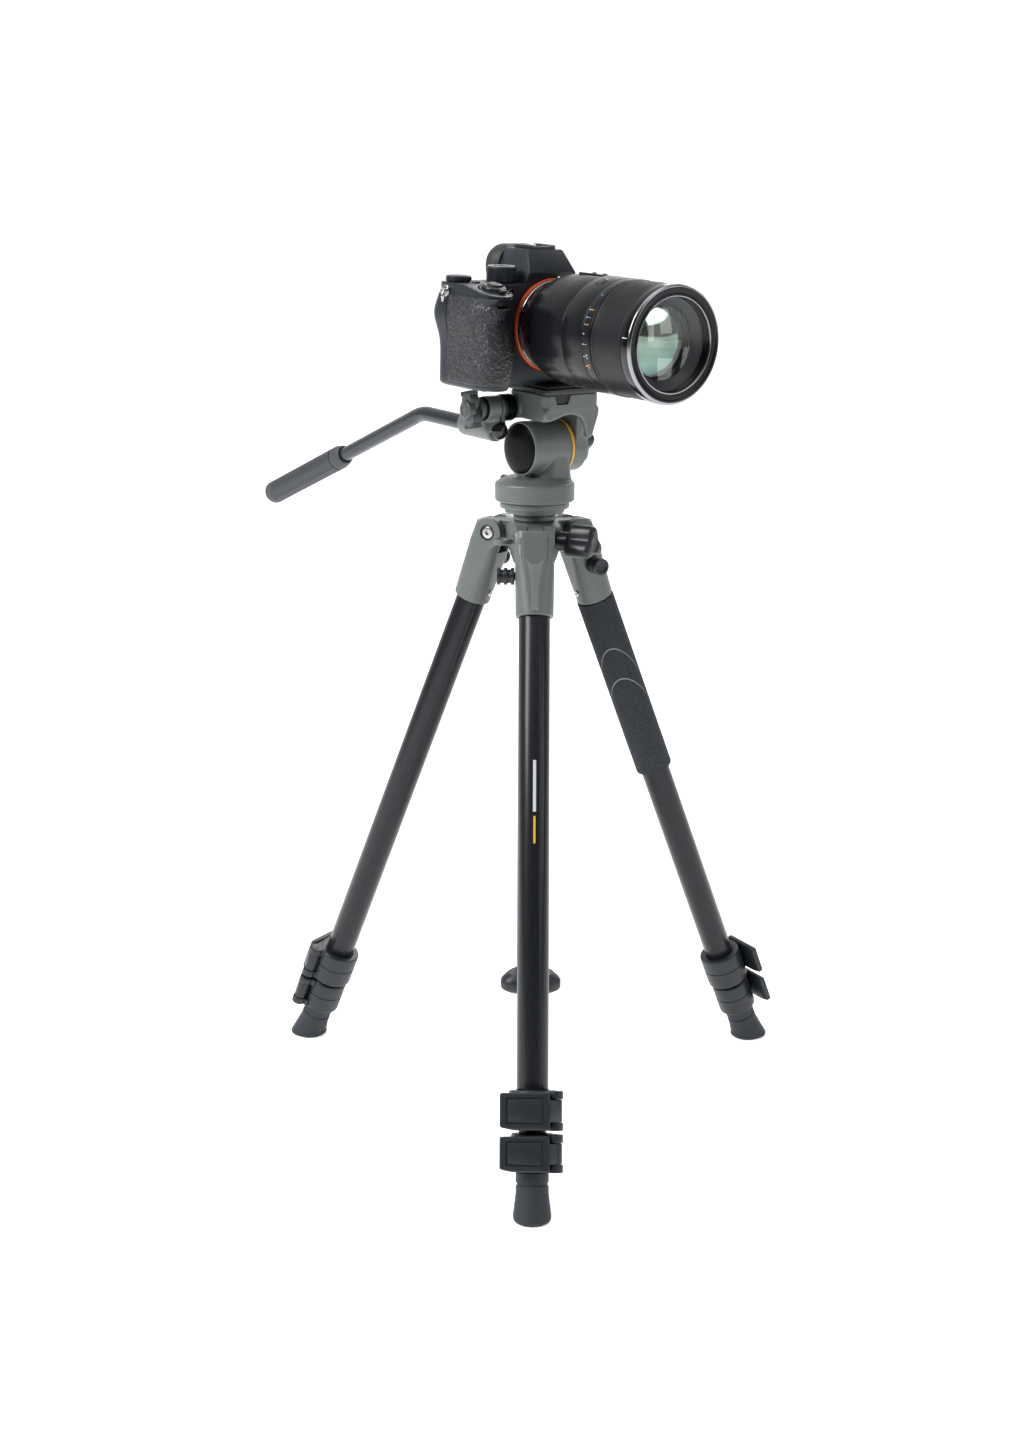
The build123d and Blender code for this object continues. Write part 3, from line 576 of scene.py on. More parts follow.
def facet():                                            # raised centre ridge below a v-shaped edge
    rings = []
    steps = 8
    for i in range(steps + 1):
        share = i / steps
        z = -13 - (leg["castingEnd"] - 15.5) * share
        roundness = (-z - 11) / (leg["castingEnd"] - 11)
        half = 8.4 - 3.2 * share
        flank = -leg["outer"] * (1 - roundness) - sqrt(leg["outer"] ** 2 - half ** 2) * roundness
        peak = -leg["outer"] - 0.75 + 0.35 * share
        drop = 9.5 * (1 - share)
        front = [(-half, flank + 0.1, z), (0, peak, z - drop), (half, flank + 0.1, z)]
        rings.append(front + [(half, flank + 1.5, z), (-half, flank + 1.5, z)])
    return loft(rings)


def tube(radius, top, bottom):
    inner = radius - leg["wall"]
    return hoop([(radius, -top), (radius, -bottom), (inner, -bottom), (inner, -top)], 0.3, 64)


def collar(tubeR, nextR, height):
    outer = tubeR + leg["lockWall"]
    half = height / 2
    ears = leg["hingeX"], -leg["hingeY"]
    profile = [
        (nextR + 0.5, -half), (outer - 0.6, -half), (outer, -half + 1.4), (outer, half - 1.4),
        (outer - 0.6, half), (tubeR + 0.1, half), (tubeR + 0.1, half - 3), (nextR + 0.5, half - 3),
    ]
    ring = hoop(profile, 0.5, 72)
    groove = lathe([(outer - 0.5, 1.2), (outer + 2, 1.2), (outer + 2, 0.4), (outer - 0.5, 0.4)], 72, True)
    lugs = []
    for low, high in ((-half, -half + 5.6), (half - 5.6, half)):
        lugs.append(moved(rod(5.3, low, high, 0.8), shifted(*ears)))
        lugs.append(block((4, ears[0]), (-outer + 0.5, -3), (low + 0.1, high - 0.1), 0.5))
    return merged(carved(ring, groove), *lugs)


def flipLever(tubeR, height):
    face = tubeR + leg["lockWall"] + 0.9
    half = height / 2
    thick = leg["leverThick"]
    reach = leg["leverReach"]
    pivot = leg["hingeX"]
    outline = [
        (-reach, -half + 2.6), (-reach, half - 1.2), (pivot - 4, half - 0.6), (pivot - 4, -half + 0.4),
        (-reach + 8, -half + 0.9),
    ]
    plate = sheet(outline, 1.6, 0, thick, 1.3, 3)
    recess = sheet(
        [
            (-reach + 4.2, -half + 5.0), (-reach + 4.2, half - 4.2), (pivot - 8, half - 3.8),
            (pivot - 8, -half + 4.4),
        ],
        1.2, thick - 0.9, thick + 2, 0.0,
    )
    plate = carved(plate, recess)
    rib = sheet(
        [
            (-reach + 5.4, -half + 6.2), (-reach + 5.4, half - 5.4), (pivot - 9.4, half - 5.0),
            (pivot - 9.4, -half + 5.6),
        ],
        1.0, thick - 1.2, thick - 0.35, 0.3,
    )
    plate = moved(merged(plate, rib), shifted(y=-face) @ turned(90, "X"))
    grip = half - 5.6 - 0.35
    arm = sheet(
        [
            (pivot - 8, -face), (pivot - 8, 0.3 - face - thick), (pivot - 3.6, 0.3 - face - thick),
            (pivot + 4.3, -leg["hingeY"] - 2.4), (pivot + 2, -leg["hingeY"]),
            (pivot - 3.9, -leg["hingeY"] - 2.2),
        ],
        0.8, -grip, grip, 0.4,
    )
    barrel = moved(rod(4.6, -grip, grip, 0.4), shifted(pivot, -leg["hingeY"]))
    pin = moved(rod(1.5, -half + 0.2, half + 0.3, 0.4, 24), shifted(pivot, -leg["hingeY"]))
    return merged(plate, arm, barrel, pin)


def footBoot():
    radius = leg["lowerR"] + 3.4
    top = leg["footTop"]
    sole = shifted(z=-leg["length"]) @ Matrix.Rotation(leg["splay"], 4, "X")
    circle = roundedBox(2 * radius, 2 * radius, radius - 0.01, 8)
    rings = [lifted(circle, -top, 0), lifted(circle, -top - 6.2, 0)]
    inset = roundedBox(2 * radius - 1.4, 2 * radius - 1.4, radius - 0.71, 8)
    rings += [
        lifted(inset, -top - 6.9, 0), lifted(inset, -top - 8.1, 0), lifted(circle, -top - 8.8, 0),
        lifted(circle, -top - 13.5, 0),
    ]
    for width, depth, corner, height in (
        (25.8, 28.2, 12.0, 3.4), (26.2, 29.0, 12.1, 2.4), (25.6, 28.4, 11.9, 0.9), (23.4, 26.2, 11.2, 0.0),
    ):
        ring = roundedBox(width, depth, corner, 8)
        rings.append([sole @ Vector(point) for point in lifted(ring, height)])
    return loft(rings)


def anglePin():
    half = leg["castingHalf"]
    start = half + 0.35
    rib = leg["pinLength"] / 5
    profile = [(0, -4), (3, -4), (3, start)]
    for i in range(5):
        radius = leg["pinR"] if i % 2 == 0 else leg["pinR"] - 1.2
        profile += [(radius, start + i * rib), (radius, start + (i + 1) * rib)]
    end = start + leg["pinLength"]
    profile += [(4.2, end), (3.6, end - 0.9), (0, end - 0.9)]
    pin = spun(profile, 0.35, 48, 2)
    return moved(pin, shifted(z=-leg["pinAt"]) @ turned(-90, "Y"))


def screwHead(radius, height, socket):                  # socket-head screw facing +z
    head = spun([(0, -1.5), (radius, -1.5), (radius, height), (0, height)], 0.5, 48)
    hexagon = [(socket * cos(radians(60 * i)), socket * sin(radians(60 * i))) for i in range(6)]
    return carved(head, slab(hexagon, height - 1.6, height + 1))


castingMesh = shown(legCasting(), "castingMaster")
print("leg casting made")


def copied(holder):
    bm = bmesh.new()
    bm.from_mesh(holder.data)
    return bm


def buildLeg(side):
    at = legFrames[side]
    body = f"{side}_leg"
    placed(f"{side}_casting", copied(castingMesh), at, body, "cast", "cast_metal", f"{side}_leg_casting")
    placed(f"{side}_casting_ridge", facet(), at, body, "cast", "cast_metal")
    half = leg["castingHalf"]
    for turn, name in ((90, "outside"), (-90, "inside")):
        seat = at @ turned(turn, "Y") @ shifted(z=half - 1.6)
        placed(
            f"{side}_bolt_{name}", screwHead(leg["boltR"] - 1.0, 1.1, 2.0), seat, "shoulder", "steel",
            "bolt_steel", *(("pivot_bolts",) if side == "front" and turn > 0 else ()),
        )
        washer = hoop(
            [
                (leg["boltR"] - 0.95, -1.2), (leg["boltR"], -1.2), (leg["boltR"], 1.0),
                (leg["boltR"] - 0.95, 1.0),
            ],
            0.25, 48,
        )
        placed(f"{side}_washer_{name}", washer, seat, "shoulder", "dark", "bolt_steel")
    upper = tube(leg["upperR"], 34.5, leg["upperCollar"][1] - 3.4)
    placed(
        f"{side}_upper_tube_skin", upper, at, body, "striped" if side == "front" else "tube", "black_tube",
        f"{side}_upper_tube",
    )
    clampAt = at @ shifted(y=leg["upperR"] + 2.2, z=-46) @ turned(-90, "X")
    placed(f"{side}_clamp_screw", screwHead(2.5, 0.7, 1.2), clampAt, body, "steel", "bolt_steel")
    upperAt = at @ shifted(z=-sum(leg["upperCollar"]) / 2)
    lowerAt = at @ shifted(z=-sum(leg["lowerCollar"]) / 2)
    upperHeight = leg["upperCollar"][1] - leg["upperCollar"][0]
    lowerHeight = leg["lowerCollar"][1] - leg["lowerCollar"][0]
    placed(
        f"{side}_upper_lock", collar(leg["upperR"], leg["middleR"], upperHeight), upperAt, body, "lock",
        "lock_plastic", f"{side}_upper_collar",
    )
    placed(
        f"{side}_upper_flip", flipLever(leg["upperR"], upperHeight), upperAt, f"{side}_upper_lever", "lock",
        "lock_plastic", f"{side}_upper_lever",
    )
    placed(
        f"{side}_middle_tube", tube(leg["middleR"], leg["middleTop"], leg["lowerCollar"][1] - 3.4), at,
        f"{side}_middle", "tube", "leg_section", f"{side}_middle_section",
    )
    placed(
        f"{side}_lower_lock", collar(leg["middleR"], leg["lowerR"], lowerHeight), lowerAt, f"{side}_middle",
        "lock", "leg_section",
    )
    placed(
        f"{side}_lower_flip", flipLever(leg["middleR"], lowerHeight), lowerAt, f"{side}_lower_lever",
        "lock", "lock_plastic", f"{side}_lower_lever",
    )
    placed(
        f"{side}_lower_tube", tube(leg["lowerR"], leg["lowerTop"], leg["footTop"] + 13), at,
        f"{side}_lower", "tube", "leg_section", f"{side}_lower_section",
    )
    placed(f"{side}_foot", footBoot(), at, f"{side}_lower", "foot", "leg_section")
    placed(
        f"{side}_pull_pin", anglePin(), at, f"{side}_angle_pin", "knob", "lock_plastic",
        f"{side}_angle_pin",
    )


for side in sides:
    buildLeg(side)
removed(castingMesh)
low, high = leg["foam"]
foamR = leg["upperR"] + leg["foamWall"]
foamProfile = [(leg["upperR"] + 0.1, -low), (foamR, -low), (foamR, -high), (leg["upperR"] + 0.1, -high)]
placed("foam_sleeve", hoop(foamProfile, 0.8, 96, 3), legFrames["right"], "right_leg", "foam", "foam",
       "right_foam_grip")
print("legs made")


# shoulder, column and hook, in the floor frame

pivotZ = spot("front_leg_spread").z / mm
pivotR = -spot("front_leg_spread").y / mm
shoulder = {
    "hubR": 20.3, "footR": 14.6, "above": 10.5, "below": 22.0, "lugHalf": 6.3, "lugR": 9.5, "eyeletR": 6.4,
    "eyeletAt": 26.6, "holeR": 3.3,
}
column = {"r": 11.0, "wall": 1.5, "length": 352.0}
hubTop = pivotZ + shoulder["above"]


def shoulderCasting():
    hub = spun(
        [
            (0, hubTop), (shoulder["hubR"] - 5, hubTop), (shoulder["hubR"], hubTop - 5),
            (shoulder["hubR"], pivotZ - 6), (shoulder["footR"], pivotZ - shoulder["below"]),
            (0, pivotZ - shoulder["below"]),
        ],
        2.0, 96,
    )
    parts = [hub]
    for i in range(3):
        turn = turned(120 * i, "Z")
        half = shoulder["lugHalf"]
        arm = block((-half, half), (-pivotR, 0), (-shoulder["lugR"], shoulder["lugR"]))
        tip = moved(alongX(rod(shoulder["lugR"], -half, half)), shifted(y=-pivotR))
        parts.append(moved(merged(arm, tip), turn @ shifted(z=pivotZ)))
    eye = hoop(
        [
            (shoulder["holeR"], -2), (shoulder["eyeletR"], -2), (shoulder["eyeletR"], 2),
            (shoulder["holeR"], 2),
        ],
        1.0, 48, 3,
    )
    knobZ = spot("column_knob_turn").z / mm
    eyeAt = turned(-60, "Z") @ shifted(y=-shoulder["eyeletAt"], z=knobZ)
    stalk = block((-3.6, 3.6), (-shoulder["eyeletAt"] + 5, -12), (-2, 2), 0.8)
    parts += [moved(eye, eyeAt), moved(stalk, turned(-60, "Z") @ shifted(z=knobZ))]
    hole = rod(column["r"] + 0.6, 0, hubTop + 5)
    return carved(cast(merged(*parts), 0.6, 3), hole)


placed("shoulder_casting", shoulderCasting(), floorFrame, "shoulder", "cast", "cast_metal", "shoulder")
topZ = hubTop + 0.3
bottomZ = topZ - column["length"]
inner = column["r"] - column["wall"]
columnProfile = [(column["r"], topZ), (column["r"], bottomZ), (inner, bottomZ), (inner, topZ)]
placed("column_skin", hoop(columnProfile, 0.3, 72), floorFrame, "column", "tube", "black_tube", "column_tube")
plateR = 15.4
topPlate = spun(
    [
        (0, topZ - 6), (9.4, topZ - 6), (9.4, topZ + 0.05), (plateR - 0.6, topZ + 0.05), (plateR, topZ + 1),
        (plateR, topZ + 3.4), (0, topZ + 3.4),
    ],
    0.4, 96, 2,
)
placed("column_flange", topPlate, floorFrame, "column", "cast", "cast_metal", "column_top_plate")


def polar(radius, swing, count, points=96):             # smooth lobed outline
    line = []
    for i in range(points):
        angle = 2 * pi * i / points
        reach = radius + swing * cos(count * 2 * pi * i / points)
        line.append((reach * cos(angle), reach * sin(angle)))
    return line


def hookCap():
    outline = [
        (20.4 + 5.0 * cos(3 * a) * (1 if cos(3 * a) > 0 else 0.9), a)
        for a in [2 * pi * i / 90 for i in range(90)]
    ]
    points = [(r * cos(a - pi / 2 + radians(60)), r * sin(a - pi / 2 + radians(60))) for r, a in outline]
    low = bottomZ - 11
    rings = []
    for inset, height in ((5.2, 0), (1.2, 2.6), (0.2, 4.2), (0.2, 9.6), (1.4, 11.6), (4.6, 14.2), (5.6, 15)):
        rings.append([(x * (1 - inset / 23), y * (1 - inset / 23), low + height) for x, y in points])
    hole = rod(column["r"] + 0.1, bottomZ, bottomZ + 20)
    return carved(loft(rings), hole)


placed("hook_cap", hookCap(), floorFrame, "column", "lock", "lock_plastic", "column_hook")


def lobedKnob(radius, length, lobes, low, dish=1.4):
    outline = polar(radius * 0.78, radius * 0.22, lobes)
    body = slab(outline, low, low + length, radius * 0.26, 5)
    cut = spun(
        [
            (0, low + length - dish), (radius * 0.42, low + length - dish * 0.6),
            (radius * 0.5, low + length + 2), (0, low + length + 2),
        ],
        0.4, 48,
    )
    return carved(body, cut)


def columnKnob():
    neck = spun([(0, 16), (7.3, 20.7), (7.3, 29.9), (5, 30.5), (0, 30.5)], 0.8, 64)
    return merged(neck, lobedKnob(13.4, 20.5, 3, 29.8))


placed(
    "column_knob_grip", columnKnob(), columnKnobFrame, "column_knob", "knob", "knob_plastic", "column_knob",
)
print("shoulder and column made")


# two-way head; head frame: z up, -y the way the lens looks, -x the grip side

head = {
    "baseBottom": spot("pan_knob_turn").z / mm - 7, "baseR": 28.8, "axisZ": spot("tilt_turn").z / mm,
    "drumR": 19.5, "drumLeft": 13.0, "drumRight": 20.0, "armR": 18.6, "armThick": 13.4, "left": 9.2,
    "right": 40.3, "half": 22.5, "top": 40.2, "under": 27.8, "clampY": 14.0, "clampZ": 28.0, "clampR": 9.0,
    "clampAt": 13.2, "clampLong": 24.0,
}
armStart = head["drumRight"] + 0.95
armEnd = armStart + head["armThick"]


def panBase():
    ring = topZ + 3.4
    return spun(
        [
            (0, ring), (14.2, ring), (14.2, ring + 2.0), (21.0, ring + 2.0), (21.6, ring + 2.6),
            (21.6, ring + 5.6), (24.6, ring + 5.6), (25.2, ring + 6.2), (25.2, head["baseBottom"] - 0.8),
            (24.8, head["baseBottom"] - 0.4), (0, head["baseBottom"] - 0.4),
        ],
        0.4, 120, 2,
    )


placed("pan_rings", panBase(), floorFrame, "column", "cast", "cast_metal", "pan_base")


def panHousing():
    low = head["baseBottom"]
    r = head["baseR"]
    disc = spun(
        [(0, low), (r - 0.8, low), (r, low + 0.8), (r, low + 13.2), (r - 8, low + 17.4), (0, low + 18.4)],
        1.0, 128,
    )
    axis = head["axisZ"]
    stem = loft([
        lifted([(x + 7.0, y) for x, y in roundedBox(38, 45, 15)], low + 11),
        lifted([(x + 8.0, y) for x, y in roundedBox(31, 40.5, 12)], low + 16.5),
        lifted([(x + 9.0, y) for x, y in roundedBox(26, 38.2, 9)], low + 23),
        lifted([(x + 10.2, y) for x, y in roundedBox(20.6, 37.6, 6)], low + 31),
        lifted([(x + 10.6, y) for x, y in roundedBox(19.4, 37.2, 5)], axis + 1),
    ])
    drum = moved(alongX(rod(head["drumR"], -head["drumLeft"], head["drumRight"], 0.8, 96)), shifted(z=axis))
    casting = cast(merged(disc, stem, drum), 0.62, 5)
    groove = lathe(
        [(r - 0.5, low + 1.9), (r + 2, low + 1.9), (r + 2, low + 2.4), (r - 0.5, low + 2.4)], 128, True,
    )
    return carved(casting, groove)


placed("pan_casting", panHousing(), headFrame, "pan", "cast", "cast_metal", "pan_housing", sharp=40)
drumFrame = headFrame @ shifted(z=head["axisZ"]) @ turned(90, "Y")      # z towards the arm
capFrame = headFrame @ shifted(z=head["axisZ"]) @ turned(-90, "Y")      # z away from the arm
clampSeat = shifted(y=head["clampY"], z=head["clampZ"])
ringR = head["drumR"] + 0.7
accent = hoop(
    [
        (17, head["drumRight"] - 0.9), (ringR, head["drumRight"] - 0.9), (ringR, head["drumRight"] + 0.6),
        (17, head["drumRight"] + 0.6),
    ],
    0.3, 128,
)
placed("accent_ring", accent, drumFrame, "pan", "accent", "cast_metal")
capAt = head["drumLeft"] + 0.05
capProfile = [
    (0, capAt + 2.6), (8, capAt + 2.5), (14, capAt + 1.9), (17.2, capAt + 1.0), (17.9, capAt + 0.2),
    (17.9, capAt - 0.6), (0, capAt - 0.6),
]
placed("drum_cap", spun(capProfile, 0.8, 96), capFrame, "pan", "cap",
       "cap_plastic", "tilt_cap")
lip = hoop(
    [
        (18.1, capAt - 0.6), (19.3, capAt - 0.6), (19.2, capAt + 0.7), (18.4, capAt + 0.9),
        (18.1, capAt + 0.6),
    ],
    0.3, 96,
)
placed("drum_lip", lip, capFrame, "pan", "cast", "cast_metal")


def panKnob():
    neck = rod(4.5, 27.5, 31.0, 0.6, 48)
    return merged(neck, lobedKnob(7.6, 9, 3, 30.6))


placed("pan_knob_grip", panKnob(), panKnobFrame, "pan_knob", "knob", "knob_plastic", "pan_knob")


def tiltBracket():
    under = head["under"]
    arm = alongX(rod(head["armR"], armStart, armEnd, 1.0, 96))
    arch = [
        (-head["left"], under + 3), (-head["left"], 21.0), (0, 22.0), (8, 25.2), (17, 25.8), (25, 22.4),
        (armEnd - 4, 8.0), (armEnd, 8.0), (head["right"] - 0.4, under - 3),
        (head["right"] - 0.4, under + 3),
    ]
    skirts = [
        moved(slab(softened(arch, 4, True, 4), low, low + 4.2, 0.8), swapped)
        for low in (-head["half"] + 0.2, head["half"] - 4.4)
    ]
    for skirt in skirts:
        bmesh.ops.recalc_face_normals(skirt, faces=skirt.faces)
    side = block((armStart + 2.2, armEnd), (-18.4, 18.4), (0, under + 2), 1.0)
    deck = slab(roundedBox(head["right"] + head["left"], 2 * head["half"], 6), 0, head["top"] - under, 1.2, 3)
    deck = moved(deck, shifted((head["right"] - head["left"]) / 2, 0, under))
    web = moved(
        sheet(
            [
                (armEnd - 9, 9), (head["right"] - 0.4, under - 5), (head["right"] - 0.4, under + 4),
                (armEnd - 9, under + 4),
            ],
            3, -19.5, 19.5, 1.0,
        ),
        swapped,
    )
    bmesh.ops.recalc_face_normals(web, faces=web.faces)
    lug = block((-head["left"], -2.5), (6.2, head["half"] - 0.4), (20.6, under + 3), 1.0)
    wall = block((-head["left"], -4.6), (-head["half"] + 2.0, head["half"] - 2.0), (20.9, under + 3), 1.0)
    boss = moved(alongX(rod(8.4, -head["clampAt"] + 0.35, -head["left"] + 1, 0.4)), clampSeat)
    ear = slab(roundedBox(12, 16, 5.9), 0, 6.6, 0.8)
    ear = moved(ear, shifted(31, head["half"] + 4.6, head["top"] - 7.8))
    body = cast(merged(arm, side, deck, web, lug, wall, boss, ear, *skirts), 0.62, 4)
    drum = alongX(rod(head["drumR"] + 1.05, -40, armStart))
    channel = [
        (6 - 4.95, head["top"] - 7.1), (6 - 8.35, head["top"] + 1), (6 + 8.35, head["top"] + 1),
        (6 + 4.95, head["top"] - 7.1),
    ]
    keyway = moved(slab(channel, -40, 40), turned(90, "X"))
    return carved(body, drum, keyway)


placed("tilt_casting", tiltBracket(), tiltFrame, "tilt", "cast", "cast_metal", "tilt_bracket", sharp=40)
placed(
    "handle_boss", rod(8.6, 0, 1.0, 0.2, 64),
    tiltFrame @ shifted(-head["clampAt"] + 0.2, head["clampY"], head["clampZ"]) @ turned(90, "Y"), "tilt",
    "dark", "cast_metal",
)
studLow = -head["clampAt"] - head["clampLong"] - 9
stud = moved(alongX(rod(3.0, studLow, -head["clampAt"] + 1, 0.3, 32)), clampSeat)
placed("handle_stud", stud, tiltFrame, "tilt", "steel", "bolt_steel")
placed(
    "tilt_knob_grip", merged(rod(6, armEnd + 0.4, armEnd + 3, 0.4, 48), lobedKnob(13.4, 10, 3, armEnd + 2)),
    tiltAxisFrame, "tilt_knob", "knob", "knob_plastic", "tilt_knob",
)


def quickLever():
    leverY = head["half"] + 6.6
    hub = moved(rod(6.0, head["under"] - 0.6, head["under"] + 4.2, 0.8, 48), shifted(31, leverY))
    paddle = sheet(
        [(9, leverY - 2.6), (31, leverY - 2.6), (31, leverY + 2.8), (9, leverY + 3.4), (7.5, leverY + 0.4)],
        1.6, head["under"] - 0.2, head["under"] + 3.8, 0.8,
    )
    return merged(hub, paddle)


placed("plate_lever", quickLever(), tiltFrame, "qr_lever", "knob", "knob_plastic", "qr_lever")


def cameraPlate():
    low = head["top"] + 0.35
    x0, x1 = -head["left"] - 0.3, head["right"] - 0.3
    outline = softened(
        [
            (x0 + 2, -24), (x1 - 2, -24), (x1, -22), (x1, 23), (x1 - 2, 25), (x0 + 2, 25), (x0, 23),
            (x0, -22),
        ],
        0.5, True, 2,
    )
    return slab(outline, low, low + 3.6, 0.6)


low = head["top"] + 0.35
placed("plate_slab", cameraPlate(), tiltFrame, "camera", "plate", "plate_metal", "qr_plate")
pad = slab(roundedBox(head["right"] + head["left"] - 5, 44, 2), 0, 2.05, 0.4)
placed("plate_pad", pad, tiltFrame @ shifted(15.05, 0.5, low + 3.6), "camera", "rubber", "plate_metal")
keel = [(6 - 4.6, low - 6.8), (6 - 8.0, low + 0.5), (6 + 8.0, low + 0.5), (6 + 4.6, low - 6.8)]
placed(
    "plate_keel", moved(slab(keel, -21.5, 21.5, 0.4), turned(90, "X")), tiltFrame, "camera", "dark",
    "plate_metal",
)


# pan handle, in the tilt frame

barR = 5.5
barX = -head["clampAt"] - head["clampLong"] / 2 - 0.8
barZ = head["clampZ"] - 15.4
bar = {
    "front": 11.5, "sleeve": 38.5, "level": 96.0, "slope": 23.6, "bendR": 42.0, "down": 240.0,
    "gripFrom": 118.0, "gripR": 9.25,
}


def handleClamp():
    y, z = head["clampY"], head["clampZ"]
    start = -head["clampAt"] - head["clampLong"]
    ring = moved(alongX(rod(head["clampR"], start, -head["clampAt"] - 0.2, 1.2, 72)), clampSeat)
    sleeve = moved(
        moved(rod(barR + 3.0, 0, bar["sleeve"], 1.6, 72), turned(-90, "X")),
        shifted(barX, bar["front"], barZ),
    )
    neck = loft([
        [(barX + u, y + v, barZ - 1) for u, v in roundedBox(14.5, 15, 4)],
        [(barX + u, y + v, barZ + 7) for u, v in roundedBox(12, 13, 4)],
        [(barX + u, y + v, z) for u, v in roundedBox(16, 15, 4)],
    ])
    rib = block((barX - 4.6, barX + 4.6), (y, y + 21), (barZ, barZ + 9.0), 2.0)
    body = cast(merged(ring, sleeve, neck, rib), 0.55, 3)
    slit = block((barX - 0.8, barX + 0.8), (y - 20, y + 7.4), (barZ + 1, z + 20))
    bore = moved(moved(rod(barR + 0.1, -20, 60), turned(-90, "X")), shifted(barX, bar["front"], barZ))
    return carved(body, slit, bore)


clampFrame = tiltFrame @ clampSeat @ turned(-90, "Y")     # z outwards, towards the wing knob
sleeveProfile = [(8.2, 13.5), (9.5, 13.5), (9.7, 14.0), (9.7, 21.2), (9.4, 21.7), (8.2, 21.7)]
placed("clamp_sleeve", hoop(sleeveProfile, 0.4, 80), clampFrame, "handle", "cap", "cast_metal")
splitProfile = [(8.2, 22.0), (9.1, 22.0), (9.1, 23.6), (8.2, 23.6)]
placed("clamp_split", hoop(splitProfile, 0.2, 80), clampFrame, "handle", "dark", "cast_metal")
placed(
    "clamp_washer", hoop([(5, 36.9), (8.6, 36.9), (8.6, 38.4), (5, 38.4)], 0.4, 72), clampFrame, "handle",
    "cap", "cast_metal",
)
placed("clamp_casting", handleClamp(), tiltFrame, "handle", "cast", "cast_metal", "handle_clamp", sharp=40)


def barPoints():
    start = Vector((barX, bar["front"] - 2.0, barZ))
    slope = radians(bar["slope"])
    tangent = bar["bendR"] * (sin(slope / 2) / cos(slope / 2))
    points = [(start, 0.0), (start + Vector((0, bar["level"] - tangent, 0)), 0.0)]
    centre = points[-1][0] + Vector((0, 0, -bar["bendR"]))
    for i in range(1, 13):
        angle = slope * i / 12
        points.append((centre + Vector((0, sin(angle), cos(angle))) * bar["bendR"], angle))
    along = Vector((0, cos(slope), -sin(slope)))
    points.append((points[-1][0] + along * (bar["down"] - tangent), slope))
    return points


def handleBar():
    rings = []
    for centre, angle in barPoints():
        rings.append(
            [
                centre + Vector((cos(a), sin(a) * sin(angle), sin(a) * cos(angle))) * barR
                for a in [2 * pi * i / 48 for i in range(48)]
            ]
        )
    return loft(rings)


placed("handle_rod", handleBar(), tiltFrame, "handle", "bar", "bar_paint", "handle_bar")
capBall = spun(
    [(0, 5.6), (2.6, 5.2), (5.0, 3.7), (6.6, 1.2), (6.7, -0.8), (5.4, -2.2), (0, -2.2)], 1.4, 64, 5,
)
placed(
    "handle_end_cap", capBall, tiltFrame @ shifted(barX, bar["front"] - 2.6, barZ) @ turned(90, "X"),
    "handle", "ball", "bar_paint",
)
slope = radians(bar["slope"])
along = Vector((0, cos(slope), -sin(slope)))
gripStart = Vector((barX, bar["front"] - 2.0 + bar["level"], barZ)) + along * bar["gripFrom"]
gripLong = bar["down"] - bar["gripFrom"] + 5


def handleGrip():
    r = bar["gripR"]
    profile = [
        (barR + 0.1, 0), (barR + 1.6, 0), (barR + 2.2, 1.4), (r, 8.5), (r, 10.5), (r - 0.9, 11.4),
        (r - 0.9, gripLong - 14), (r, gripLong - 13), (r, gripLong - 6), (r - 3.4, gripLong), (0, gripLong),
        (0, gripLong - 5), (barR + 0.1, gripLong - 5),
    ]
    sleeve = hoop(profile, 0.7, 108)
    ribs = []
    for face in sleeve.faces:
        centre = face.calc_center_median()
        length = max(v.co.z for v in face.verts) - min(v.co.z for v in face.verts)
        if length > 60 and sqrt(centre.x ** 2 + centre.y ** 2) > barR + 1:
            if int(atan2(centre.y, centre.x) / (2 * pi / 108) + 108.5) % 3:
                ribs.append(face)
    grown = bmesh.ops.extrude_discrete_faces(sleeve, faces=ribs)["faces"]
    for face in grown:
        bmesh.ops.translate(sleeve, verts=face.verts, vec=face.normal * 0.8)
    return sleeve


gripLean = Vector((0, 0, 1)).rotation_difference(along).to_matrix().to_4x4()
gripFrame = tiltFrame @ Matrix.Translation(gripStart) @ gripLean
placed("handle_sleeve", handleGrip(), gripFrame, "handle", "grip", "grip_rubber", "handle_grip")


wing = {
    "radius": 8.4, "swing": 4.4, "span": (5.5, 13.5), "ribAt": 11.6, "ribLong": 1.6, "ribHalf": 0.36,
    "ribStep": 1.25, "ribSpan": (5.9, 13.6), "turn": 14,
}


def wingKnob():
    stem = rod(7.2, 0, 4.5, 0.8, 64)
    wings = slab(polar(wing["radius"], wing["swing"], 2, 72), *wing["span"], 2.2, 4)
    hub = spun([(0, 16.0), (5.2, 16.0), (6.6, 15.0), (7.2, 10.5), (0, 10.5)], 0.4, 64)
    ribs = []
    for i in range(-4, 5):
        for side in (-1, 1):
            across = (side * wing["ribAt"] - wing["ribLong"], side * wing["ribAt"] + wing["ribLong"])
            along = (i * wing["ribStep"] - wing["ribHalf"], i * wing["ribStep"] + wing["ribHalf"])
            ribs.append(block(across, along, wing["ribSpan"], 0.2, 1))
    ring = hoop([(3.4, 15.9), (4.2, 15.9), (4.2, 16.4), (3.4, 16.4)], 0.2, 48)
    bore = rod(3.1, -2, 9.2)
    return merged(carved(merged(stem, wings, hub), bore), ring, *ribs)


